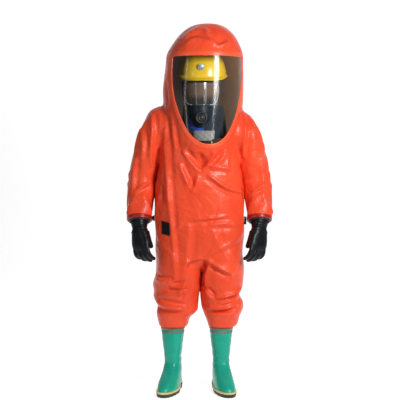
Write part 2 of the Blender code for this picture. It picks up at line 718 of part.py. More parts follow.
def mask_point(angle, z, out=0.0):
    """The respirator's front, round the face, narrower towards the chin."""
    share = min(1, max(0, (z - 1.345) / 0.20))
    half, front = 0.070 + 0.026 * share, 0.118 + 0.018 * share
    reach = ((math.sin(angle) / half) ** 2 + (math.cos(angle) / front) ** 2) ** -0.5 + out
    return Vector((MASK_X + reach * math.sin(angle), HEAD.y - reach * math.cos(angle), z))


def make_mask(root):
    lens_rows = [(math.radians(a), z) for a, z in
                 ((30, 1.470), (46, 1.482), (56, 1.505), (60, 1.540), (60, 1.570), (56, 1.584))]
    attach(panel("mask_lens", mask_point, lens_rows, -0.001, 0.001, 14), root, "visor_clear")
    outline = divided([(a + 0.04, z) for a, z in lens_rows]
                      + [(-a - 0.04, z) for a, z in lens_rows[::-1]])
    attach(band("mask_rim", mask_point, outline, 0.008, 0.0030, 0.0070, radius=0.11), root,
           "mask_navy")
    face_rows = [(math.radians(a), z) for a, z in
                 ((50, 1.345), (70, 1.365), (80, 1.400), (84, 1.430), (84, 1.458))]
    attach(panel("mask_facepiece", mask_point, face_rows, -0.006, 0.0, 14), root, "mask_navy")
    front_y = mask_point(0, AIR_PORT_Z).y

    def forward(name, profile, count=20):
        obj = turned(name, profile, count)
        obj.data.transform(Matrix.Translation((MASK_X, front_y - 0.0008, AIR_PORT_Z))
                           @ Matrix.Rotation(math.radians(90), 4, "X"))
        return obj

    attach(forward("mask_connector", [(0.016, 0.004), (0.027, 0.004), (0.027, 0.018),
                                      (0.016, 0.018)]), root, "black_plastic")
    attach(forward("demand_valve", [(0, 0.0185), (0.031, 0.0185), (0.033, 0.022), (0.033, 0.040),
                                    (0.029, 0.044), (0.019, 0.044), (0.019, 0.041), (0, 0.041)]),
           root, "mask_navy")
    press = make_pivot("purge_button_press", (MASK_X, front_y - 0.045, AIR_PORT_Z), root)
    attach(forward("purge_button", [(0, 0.0440), (0.0175, 0.0440), (0.0175, 0.0465), (0, 0.0480)]),
           press, "black_plastic")
    for side, sign in (("right", -1), ("left", 1)):
        clip = box(f"mask_adapter_{side}", (-0.004, -0.014, 1.520), (0.004, 0.014, 1.594))
        clip.data.transform(Matrix.Translation((HEAD.x + sign * 0.107, HEAD.y - 0.030, 0)))
        attach(clip, root, "black_plastic")
    bib_rows = [(math.radians(a), z) for a, z in ((8, 1.290), (16, 1.300), (17, 1.340))]
    attach(panel("inner_bib", hood_point, bib_rows, -0.034, -0.028, 8, math.radians(-1)), root,
           "bib_grey")


# Sleeves, cuffs and gloves

def sleeve_rings(inset, mirror):
    rings = []
    for outer_x, outer_z, inner_x, inner_z, y, depth, pitch in SLEEVE:
        middle = Vector(((outer_x + inner_x) / 2, y, (outer_z + inner_z) / 2))
        across = Vector((outer_x - inner_x, 0, outer_z - inner_z)) / 2
        tilt = math.radians(pitch)
        ahead = Vector((0, math.cos(tilt), -math.sin(tilt)))
        reach = across.normalized() * (across.length - inset)
        rings.append([
            middle + reach * math.cos(2 * math.pi * i / SLEEVE_COUNT)
            + ahead * (depth - inset) * math.sin(2 * math.pi * i / SLEEVE_COUNT)
            for i in range(SLEEVE_COUNT)
        ])
    if mirror:
        rings = [[Vector((-p.x, p.y, p.z)) for p in r] for r in rings]
    return rings


def round_cut(name, pivot, radius):
    """Everything below a joint that turns about X, beyond the round seam about it."""
    edge = 0.6
    block = box(name, (-edge, -edge, pivot.z - edge), (edge, edge, pivot.z))
    return boolean(block, rod("seam", (-0.7, 0, pivot.z), (0.7, 0, pivot.z), radius, 48))


def make_arm(root, side, sign):
    mirror = sign < 0
    shoulder = make_pivot(f"shoulder_{side}", (sign * SHOULDER.x, 0, SHOULDER.z), root)
    elbow = make_pivot(f"elbow_{side}", (sign * ELBOW.x, ELBOW.y, ELBOW.z), shoulder)
    outer, inner = sleeve_rings(0, mirror), sleeve_rings(FABRIC, mirror)
    inner[0] = [Vector((outer[0][0].x, p.y, p.z)) for p in inner[0]]
    upper = tube(f"sleeve_upper_{side}", outer, inner)
    lower = upper.copy()
    lower.data = upper.data.copy()
    lower.name = f"sleeve_lower_{side}"
    bpy.context.scene.collection.objects.link(lower)
    boolean(upper, round_cut("beyond", ELBOW, ELBOW_R))
    boolean(lower, rod("seam", (-0.7, 0, ELBOW.z), (0.7, 0, ELBOW.z), ELBOW_R + 0.001, 48))
    boolean(lower, box("above", (-0.6, -0.6, ELBOW.z - 0.02), (0.6, 0.6, 1.6)))
    attach(upper, shoulder, "suit_fabric")
    attach(lower, elbow, "suit_fabric")

    wrist = Vector((sign * WRIST.x, WRIST.y, WRIST.z))
    pitch = Matrix.Rotation(-FOREARM_PITCH, 4, "X")
    along = Matrix.Translation(wrist) @ pitch @ Matrix.Rotation(math.pi, 4, "X")
    cuff = turned(f"cuff_ring_{side}", [
        (CUFF_BORE_R, 0.0010), (0.0640, 0.0010), (0.0655, 0.0060), (0.0640, 0.0200),
        (CUFF_BORE_R, 0.0200)])
    cuff.data.transform(along)
    attach(cuff, elbow, "cuff_red")
    twist = make_pivot(f"glove_twist_{side}", wrist, elbow)
    lock = turned(f"glove_ring_{side}", [(0.0475, 0.0040), (LOCK_R, 0.0040), (LOCK_R, 0.0270),
                                         (0.0475, 0.0270)])
    lock.data.transform(along)
    attach(lock, twist, "black_plastic")
    glove = make_glove(f"glove_{side}")
    if mirror:
        glove.data.transform(Matrix.Scale(-1, 4, (1, 0, 0)))
        glove.data.flip_normals()
    glove.data.transform(Matrix.Translation(wrist) @ pitch @ Matrix.Translation((0, 0, -0.012)))
    attach(glove, twist, "glove_rubber")


def finger(name, start, direction, length, radius, curl):
    """A tapered, slightly curled finger; direction points to its tip and curl is the bend."""
    rings, place = [], Vector(start)
    side = Vector((0, 1, 0))
    heading = Vector(direction).normalized()
    shares = [(0, 1.0), (0.34, 1.02), (0.66, 0.94), (0.9, 0.74), (1.0, 0.35)]
    for k, (share, width) in enumerate(shares):
        if k:
            heading.rotate(Matrix.Rotation(curl / 4, 3, side))
            place = place + heading * length * (share - shares[k - 1][0])
        first = heading.cross(side).normalized()
        second = heading.cross(first).normalized()
        rings.append([place + radius * width * (first * math.cos(2 * math.pi * i / 8)
                                                + second * math.sin(2 * math.pi * i / 8))
                      for i in range(8)])
    return solid(name, rings)


def make_glove(name):
    """The left glove, hanging along -Z from its ring: back of the hand at +X, thumb at -Y."""
    def hand_ring(s, thick, wide, count=16):
        return ring(0, 0, -s, thick, wide, wide, 2.4, count)

    glove = solid(name, [hand_ring(*row) for row in GLOVE])
    for y, length in FINGERS:
        part = finger("finger", (0.001, y, -0.148), (-0.10, y * 1.2, -1), length, FINGER_R,
                      math.radians(34))
        boolean(glove, part, "UNION")
    thumb = finger("thumb", (-0.006, -0.028, -0.068), (-0.22, -0.30, -1.0), 0.080, 0.0145,
                   math.radians(10))
    boolean(glove, thumb, "UNION")
    hollow = [(-0.02, 0.0405, 0.0405), (0.022, 0.0380, 0.0390), (0.048, 0.0275, 0.0335),
              (0.080, 0.0235, 0.0395), (0.120, 0.0195, 0.0445), (0.140, 0.0160, 0.0420)]
    boolean(glove, solid("hollow", [hand_ring(*row) for row in hollow]))
    glove.data.transform(Matrix.Rotation(-HAND_TURN, 4, "Z"))
    for vertex in glove.data.vertices:
        vertex.co.x -= HAND_INWARD * max(0, -vertex.co.z - GLOVE_CUFF)
    return glove


# Legs and boots

def leg_rings(stations, inset):
    return [
        ring((outer + inner) / 2, 0, z, abs(outer - inner) / 2 - inset, depth - inset,
             depth - inset, LEG_POWER, LEG_COUNT)
        for z, outer, inner, depth in stations
    ]


def make_leg(root, side, stations):
    sign = -1 if side == "right" else 1
    hip = make_pivot(f"hip_{side}", (sign * 0.12, 0, HIP.z), root)
    knee = make_pivot(f"knee_{side}", (BOOT_X[side], 0, KNEE.z), hip)
    leg = tube(f"leg_{side}", leg_rings(stations, 0), leg_rings(stations, FABRIC))
    boolean(leg, rod("seam", (-0.7, 0, HIP.z), (0.7, 0, HIP.z), HIP_R + 0.001, 48))
    boolean(leg, round_cut("beyond", KNEE, KNEE_R))
    attach(leg, hip, "suit_fabric")

    def cuff_rings(inset):
        return [ring(BOOT_X[side], 0, z, half - inset, depth - inset, depth - inset, 2.2, LEG_COUNT)
                for z, half, depth in LEG_CUFF]

    cuff = tube(f"leg_cuff_{side}", cuff_rings(0), cuff_rings(FABRIC))
    boolean(cuff, rod("seam", (-0.7, 0, KNEE.z), (0.7, 0, KNEE.z), KNEE_R + 0.001, 48))
    attach(cuff, knee, "suit_fabric")
    make_boot(side, knee)


def make_boot(side, knee):
    stand = (Matrix.Translation((BOOT_X[side], BOOT_STAND_Y, 0))
             @ Matrix.Rotation(TOE_OUT[side], 4, "Z"))

    def rings_of(rows, inset):
        return [ring(0, cy, z, half - inset, front - inset, back - inset, BOOT_POWER, BOOT_COUNT)
                for z, cy, half, front, back in rows]

    inside = [(max(z, 0.040), *rest) for z, *rest in BOOT[:-1]]
    upper = cup(f"boot_upper_{side}", rings_of(BOOT, 0), rings_of(inside, BOOT_WALL))
    upper.data.transform(stand)
    attach(upper, knee, "boot_rubber")
    sole_rows = [(z, SOLE_Y, half, 0.154 - less, 0.150 - less) for z, half, less in SOLE]
    sole = solid(f"boot_sole_{side}", rings_of(sole_rows, 0))
    boolean(sole, box("arch", (-0.1, -0.040, -0.01), (0.1, 0.012, 0.009)))
    sole.data.transform(stand)
    attach(sole, knee, "sole_rubber")
    lug = box(f"heel_lug_{side}", (-0.020, 0.0640, 0.076), (0.020, 0.0840, 0.100))
    boolean(lug, solid("upper", rings_of(BOOT, -GAP)))
    lug.data.transform(stand)
    attach(lug, knee, "sole_rubber")
    clamp = tube(
        f"boot_clamp_{side}",
        [ring(0, 0, z, 0.0630, 0.0655, 0.0675, BOOT_POWER, BOOT_COUNT) for z in CLAMP_HEIGHTS],
        [ring(0, 0, z, 0.0607, 0.0629, 0.0649, BOOT_POWER, BOOT_COUNT) for z in CLAMP_HEIGHTS])
    clamp.data.transform(stand)
    attach(clamp, knee, "metal")


clear_scene()
MATERIALS = make_materials()
suit = make_pivot("suit", (0, 0, 0))
make_body(suit)
make_visor(suit)
make_zip(suit)
for valve_side, valve_turn in VALVE_TURNS.items():
    make_valve(suit, valve_side, valve_turn)
make_passthrough(suit)
make_belt(suit)
make_helmet(suit)
make_mask(suit)
make_arm(suit, "right", -1)
make_arm(suit, "left", 1)
make_leg(suit, "right", RIGHT_LEG)
make_leg(suit, "left", LEFT_LEG)
suit.location.y = BODY_Y
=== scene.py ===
"""Looks of a gas-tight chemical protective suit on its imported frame.

Every outline is written about the wearer's upright axis, in metres, with +Z up and the front at -Y.
place() then moves a piece to that axis's place in the frame.
"""

import json
import math

import bmesh
import bpy
import numpy as np
from mathutils import Matrix, Vector
from mathutils.bvhtree import BVHTree


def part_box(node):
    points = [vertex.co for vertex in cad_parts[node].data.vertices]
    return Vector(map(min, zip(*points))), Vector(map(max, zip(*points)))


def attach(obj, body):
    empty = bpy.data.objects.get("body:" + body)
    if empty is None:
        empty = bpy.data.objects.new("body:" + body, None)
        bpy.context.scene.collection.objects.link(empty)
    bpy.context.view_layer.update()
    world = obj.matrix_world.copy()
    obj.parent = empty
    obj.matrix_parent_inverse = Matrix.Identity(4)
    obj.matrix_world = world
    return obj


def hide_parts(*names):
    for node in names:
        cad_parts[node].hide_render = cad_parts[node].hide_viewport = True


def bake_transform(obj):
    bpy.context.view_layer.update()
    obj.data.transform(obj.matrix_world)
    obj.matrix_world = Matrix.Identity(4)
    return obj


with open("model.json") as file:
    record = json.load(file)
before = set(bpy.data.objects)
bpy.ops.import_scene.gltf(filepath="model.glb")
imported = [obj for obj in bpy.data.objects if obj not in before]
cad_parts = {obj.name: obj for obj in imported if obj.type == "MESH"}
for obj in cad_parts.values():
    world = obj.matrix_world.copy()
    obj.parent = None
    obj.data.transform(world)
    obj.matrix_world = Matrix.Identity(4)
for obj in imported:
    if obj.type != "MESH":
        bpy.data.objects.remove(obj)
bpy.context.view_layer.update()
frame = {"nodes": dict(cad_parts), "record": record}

JOINTS = {joint["name"]: joint for joint in frame["record"]["behaviour"]["joints"]}
AXIS_Y = JOINTS["hip_left"]["pos_m"][1]
SIDES = (("right", -1), ("left", 1))

# The garment's outline. Rows of (height, half width, front depth, back depth)
BACK_LEAN = 0.1
BACK_AT_800 = 0.190
TORSO = [
    (0.605, 0.060, 0.030, 0.040), (0.625, 0.150, 0.075, 0.090), (0.655, 0.205, 0.118, 0.135),
    (0.70, 0.224, 0.150, 0.172), (0.82, 0.229, 0.167, 0.192),
    (0.96, 0.230, 0.174, 0.206), (1.08, 0.226, 0.178, 0.218), (1.16, 0.208, 0.180, 0.226),
    (1.24, 0.194, 0.178, 0.234), (1.34, 0.190, 0.168, 0.244), (1.42, 0.186, 0.150, 0.252),
    (1.46, 0.176, 0.120, 0.255), (1.52, 0.150, 0.060, 0.230), (1.60, 0.110, 0.030, 0.180),
]
TORSO_POWER = 2.8

# (height, middle x, half width, front depth, back depth)
HOOD = [
    (1.12, 0.005, 0.120, 0.120, 0.100), (1.19, 0.010, 0.145, 0.175, 0.120),
    (1.25, 0.015, 0.170, 0.208, 0.150), (1.30, 0.017, 0.180, 0.214, 0.170),
    (1.40, 0.018, 0.196, 0.216, 0.215), (1.455, 0.018, 0.202, 0.216, 0.246),
    (1.50, 0.018, 0.206, 0.215, 0.252), (1.56, 0.020, 0.206, 0.214, 0.240),
    (1.66, 0.025, 0.200, 0.212, 0.215), (1.73, 0.028, 0.195, 0.207, 0.199),
    (1.78, 0.033, 0.172, 0.185, 0.185), (1.83, 0.038, 0.140, 0.150, 0.160),
    (1.865, 0.040, 0.100, 0.105, 0.120), (1.882, 0.040, 0.060, 0.065, 0.075),
    (1.888, 0.040, 0.020, 0.022, 0.025),
]
HOOD_POWER = 2.2

# Sleeve stations: outer edge x, z; inner edge x, z; middle y; half depth; forward pitch in degrees
SLEEVE = [
    (0.120, 1.472, 0.120, 1.215, 0.000, 0.120, 0), (0.195, 1.452, 0.1885, 1.215, 0.000, 0.117, 0),
    (0.262, 1.420, 0.1920, 1.214, 0.000, 0.112, 0), (0.303, 1.350, 0.1960, 1.205, 0.000, 0.104, 0),
    (0.332, 1.262, 0.2050, 1.160, 0.000, 0.094, 0), (0.353, 1.180, 0.2200, 1.112, 0.000, 0.085, 3),
    (0.368, 1.100, 0.2295, 1.068, -0.002, 0.078, 10), (0.374, 1.010, 0.2325, 1.002, -0.025, 0.073, 18),
    (0.374, 0.950, 0.2370, 0.948, -0.047, 0.069, 21), (0.372, 0.903, 0.2420, 0.901, -0.067, 0.067, 22),
    (0.371, 0.855, 0.2430, 0.850, -0.086, 0.066, 22),
]
FOREARM_PITCH = math.radians(22)
WRIST = Vector((0.3055, -0.067, 0.902))

# Leg stations: height, outer x, inner x, half depth. The bulges are the cloth bunched over the knee
RIGHT_LEG = [
    (0.760, -0.215, -0.006, 0.150), (0.700, -0.222, 0.008, 0.155), (0.640, -0.226, 0.017, 0.152),
    (0.600, -0.228, 0.017, 0.146), (0.575, -0.234, 0.015, 0.142), (0.552, -0.240, 0.012, 0.136),
    (0.525, -0.233, 0.008, 0.132), (0.496, -0.238, 0.002, 0.126), (0.474, -0.236, -0.002, 0.122),
    (0.455, -0.222, -0.002, 0.118), (0.441, -0.213, -0.004, 0.114), (0.426, -0.219, -0.003, 0.112),
    (0.410, -0.224, -0.010, 0.110), (0.394, -0.224, -0.032, 0.104), (0.378, -0.219, -0.052, 0.096),
    (0.362, -0.219, -0.056, 0.092), (0.347, -0.213, -0.058, 0.088), (0.325, -0.202, -0.064, 0.082),
    (0.300, -0.200, -0.066, 0.080),
]
LEFT_LEG = [
    (0.760, 0.215, 0.022, 0.150), (0.700, 0.226, 0.012, 0.155), (0.640, 0.230, 0.006, 0.152),
    (0.600, 0.230, 0.004, 0.146), (0.560, 0.226, 0.002, 0.140), (0.528, 0.220, 0.000, 0.132),
    (0.504, 0.205, 0.000, 0.128), (0.489, 0.207, 0.002, 0.126), (0.470, 0.222, 0.004, 0.122),
    (0.448, 0.230, 0.006, 0.116), (0.426, 0.229, 0.010, 0.112), (0.410, 0.221, 0.018, 0.108),
    (0.392, 0.211, 0.026, 0.102), (0.374, 0.205, 0.034, 0.096), (0.358, 0.202, 0.040, 0.092),
    (0.345, 0.198, 0.043, 0.088), (0.325, 0.181, 0.046, 0.082), (0.300, 0.178, 0.048, 0.080),
]
LEG_POWER = 2.3
CUFF_Z = 0.337

VISOR_YAW = math.radians(9)
VISOR_HALF_ANGLE = math.radians(60)
VISOR_TOP_Z, VISOR_SIDE_Z, VISOR_BOTTOM_Z = 1.715, 1.660, 1.270
MEAN_RADIUS = 0.21              # turns angles round the hood into lengths along it

RING = 96                       # points round each ring of cloth
VOXEL = 0.0105
HEAD = Vector((0.018, 0.010, 0))

# The floor glows white from GLOW_FULL_Y backwards and within GLOW_HALF_WIDTH to either side
GLOW_START_Y, GLOW_FULL_Y = -0.9, -0.3
GLOW_HALF_WIDTH = 2.7
SMOKE_LOW_Z, SMOKE_HIGH_Z = 1.496, 1.545      # where the mask lens turns from dark to brown


# Mesh helpers

def make_mesh(name, vertices, faces, material=None, smooth=True):
    mesh = bpy.data.meshes.new(name)
    mesh.from_pydata([tuple(v) for v in vertices], [], [tuple(int(i) for i in f) for f in faces])
    work = bmesh.new()
    work.from_mesh(mesh)
    bmesh.ops.recalc_face_normals(work, faces=work.faces)
    work.to_mesh(mesh)
    work.free()
    obj = bpy.data.objects.new(name, mesh)
    bpy.context.scene.collection.objects.link(obj)
    if material:
        mesh.materials.append(material)
    if smooth:
        mesh.shade_smooth()
    return obj


def strip_faces(first, second, count, closed=True):
    last = count if closed else count - 1
    return [
        (first + i, first + (i + 1) % count, second + (i + 1) % count, second + i)
        for i in range(last)
    ]


def loft(name, rings, material=None, ends=True, loop=False, closed=True):
    """A skin through rings of equal length, with flat ends, or closing on its first ring."""
    count, total = len(rings[0]), len(rings)
    faces = []
    for k in range(total if loop else total - 1):
        faces += strip_faces(k * count, (k + 1) % total * count, count, closed)
    if ends and not loop:
        faces += [tuple(range(count)), tuple(range((total - 1) * count, total * count))]
    return make_mesh(name, [p for r in rings for p in r], faces, material)


def turned(name, profile, material, count=64):
    """A profile of (radius, height) turned about Z, closed where it ends on the axis."""
    turns = np.arange(count) * 2 * math.pi / count
    rings = [
        [(r * math.cos(t), r * math.sin(t), h) for t in turns] for r, h in profile
    ]
    return loft(name, rings, material, ends=True, loop=profile[0][0] > 0.0005)


def resample(rows, count):
    """The rows of a table at even steps along a smooth curve through them."""
    rows = np.array(rows, float)
    last = len(rows) - 1
    out = []
    for t in np.linspace(0, last, count):
        i = min(int(t), last - 1)
        f = t - i
        p0, p1, p2, p3 = rows[max(i - 1, 0)], rows[i], rows[i + 1], rows[min(i + 2, last)]
        out.append(0.5 * (2 * p1 + (p2 - p0) * f + (2 * p0 - 5 * p1 + 4 * p2 - p3) * f * f
                          + (3 * p1 - p0 - 3 * p2 + p3) * f ** 3))
    return np.array(out)


def ring(cx, cy, z, half, front, back, power, count=RING):
    """A level superellipse whose front (-Y) and back can be of different depth."""
    t = np.arange(count) * 2 * math.pi / count
    c, s = np.cos(t), np.sin(t)
    depth = np.where(s < 0, front, back)
    return np.stack([
        cx + half * np.sign(c) * np.abs(c) ** (2 / power),
        cy + depth * np.sign(s) * np.abs(s) ** (2 / power),
        np.full(count, z),
    ], 1)


def apply_modifiers(obj):
    graph = bpy.context.evaluated_depsgraph_get()
    made = bpy.data.meshes.new_from_object(obj.evaluated_get(graph))
    obj.modifiers.clear()
    old, obj.data = obj.data, made
    bpy.data.meshes.remove(old)
    return obj


def modify(obj, kind, **settings):
    modifier = obj.modifiers.new(kind.lower(), kind)
    for key, value in settings.items():
        setattr(modifier, key, value)
    return modifier


def thicken(obj, thickness, offset):
    """Gives a single layer its thickness: offset -1 is inwards, 1 outwards and 0 both ways."""
    modify(obj, "SOLIDIFY", thickness=thickness, offset=offset)
    return apply_modifiers(obj)


def remeshed(obj, voxel, smoothing=4, levels=0):
    """One even skin round everything in the object, with its steps smoothed away."""
    modify(obj, "REMESH", mode="VOXEL", voxel_size=voxel)
    modify(obj, "SMOOTH", factor=0.5, iterations=smoothing)
    if levels:
        modify(obj, "SUBSURF", levels=levels, render_levels=levels)
    apply_modifiers(obj)
    obj.data.shade_smooth()
    return obj


def joined(name, parts):
    """One object that holds the meshes of all the parts, which go."""
    vertices, faces = [], []
    for part in parts:
        start = len(vertices)
        vertices += [part.matrix_world @ v.co for v in part.data.vertices]
        faces += [[start + i for i in p.vertices] for p in part.data.polygons]
        bpy.data.objects.remove(part, do_unlink=True)
    return make_mesh(name, vertices, faces)


def points_of(obj):
    flat = np.empty(len(obj.data.vertices) * 3)
    obj.data.vertices.foreach_get("co", flat)
    return flat.reshape(-1, 3)


def normals_of(obj):
    flat = np.empty(len(obj.data.vertices) * 3)
    obj.data.vertex_normals.foreach_get("vector", flat)
    return flat.reshape(-1, 3)


def set_points(obj, points):
    obj.data.vertices.foreach_set("co", np.ascontiguousarray(points).ravel())
    obj.data.update()


def place(obj):
    """Moves a piece from the wearer's axis to its place in the frame."""
    obj.data.transform(Matrix.Translation((0, AXIS_Y, 0)))
    return obj


def smoothstep(value, low, high):
    t = np.clip((value - low) / (high - low), 0, 1)
    return t * t * (3 - 2 * t)


# Materials

def new_material(name, colour, roughness, metallic=0.0, **sockets):
    """A Principled material; extra sockets are named with _ for a space."""
    material = bpy.data.materials.new(name)
    material.use_nodes = True
    shader = material.node_tree.nodes["Principled BSDF"]
    shader.inputs["Base Color"].default_value = (*colour, 1)
    shader.inputs["Roughness"].default_value = roughness
    shader.inputs["Metallic"].default_value = metallic
    for key, value in sockets.items():
        shader.inputs[key.replace("_", " ")].default_value = value
    return material


def add_node(material, kind, **inputs):
    node = material.node_tree.nodes.new(kind)
    for key, value in inputs.items():
        node.inputs[key.replace("_", " ")].default_value = value
    return node


def link(material, source, target):
    material.node_tree.links.new(source, target)


def object_space(material):
    node = material.node_tree.nodes.new("ShaderNodeTexCoord")
    return node.outputs["Object"]


def noise_factor(material, scale, detail=4.0, distortion=0.0, stretch=(1, 1, 1)):
    """A noise from 0 to 1 in the object's own space."""
    mapping = add_node(material, "ShaderNodeMapping", Scale=stretch)
    link(material, object_space(material), mapping.inputs["Vector"])
    noise = add_node(material, "ShaderNodeTexNoise", Scale=scale, Detail=detail,
                     Distortion=distortion)
    link(material, mapping.outputs["Vector"], noise.inputs["Vector"])
    return noise.outputs["Fac"]


def ramp(material, factor, stops):
    node = material.node_tree.nodes.new("ShaderNodeValToRGB")
    elements = node.color_ramp.elements
    while len(elements) < len(stops):
        elements.new(0.5)
    for element, (place_at, colour) in zip(elements, stops):
        element.position = place_at
        element.color = (*colour, 1)
    link(material, factor, node.inputs["Fac"])
    return node.outputs["Color"]


def spread(material, factor, low, high):
    """The middle half of a noise, stretched from low to high."""
    node = add_node(material, "ShaderNodeMapRange", From_Min=0.25, From_Max=0.75, To_Min=low,
                    To_Max=high)
    link(material, factor, node.inputs["Value"])
    return node.outputs["Result"]


def along_axis(material, axis, start, end, low=0.0, high=1.0):
    """A value that goes from low to high between two places along an axis of the object."""
    split = add_node(material, "ShaderNodeSeparateXYZ")
    link(material, object_space(material), split.inputs["Vector"])
    node = add_node(material, "ShaderNodeMapRange", From_Min=start, From_Max=end, To_Min=low,
                    To_Max=high)
    link(material, split.outputs[axis], node.inputs["Value"])
    return node.outputs["Result"]


def product_of(material, first, second):
    node = material.node_tree.nodes.new("ShaderNodeMath")
    node.operation = "MULTIPLY"
    link(material, first, node.inputs[0])
    link(material, second, node.inputs[1])
    return node.outputs[0]


def vary(material, dark, light, scale, rough=None, stretch=(1, 1, 1)):
    """Colour that drifts between two tones, and roughness that drifts with it."""
    shader = material.node_tree.nodes["Principled BSDF"]
    factor = noise_factor(material, scale, stretch=stretch)
    link(material, ramp(material, factor, [(0.3, dark), (0.7, light)]),
         shader.inputs["Base Color"])
    if rough:
        link(material, spread(material, noise_factor(material, scale * 3), *rough),
             shader.inputs["Roughness"])


def bump(material, layers):
    """Bump in layers, each (distance in metres, what makes its height, the maker's arguments)."""
    last = None
    for distance, height, *arguments in layers:
        node = add_node(material, "ShaderNodeBump", Strength=1.0, Distance=distance)
        link(material, height(material, *arguments), node.inputs["Height"])
        if last:
            link(material, last, node.inputs["Normal"])
        last = node.outputs["Normal"]
    link(material, last, material.node_tree.nodes["Principled BSDF"].inputs["Normal"])


def weave(material, pitch):
    """The height of a plain weave with this thread pitch in metres."""
    waves = []
    for direction in ("X", "Z"):
        wave = add_node(material, "ShaderNodeTexWave", Scale=1 / pitch / 3.18, Distortion=0.3)
        wave.bands_direction = direction
        link(material, object_space(material), wave.inputs["Vector"])
        waves.append(wave.outputs["Fac"])
    return product_of(material, *waves)


def finish(name, colour, roughness, drift, layers, metallic=0.0, **sockets):
    """A finish whose colour and roughness drift, with its grain in layers of bump."""
    material = new_material(name, colour, roughness, metallic, **sockets)
    vary(material, *drift)
    bump(material, layers)
    return material


NOISE, WEAVE = noise_factor, weave


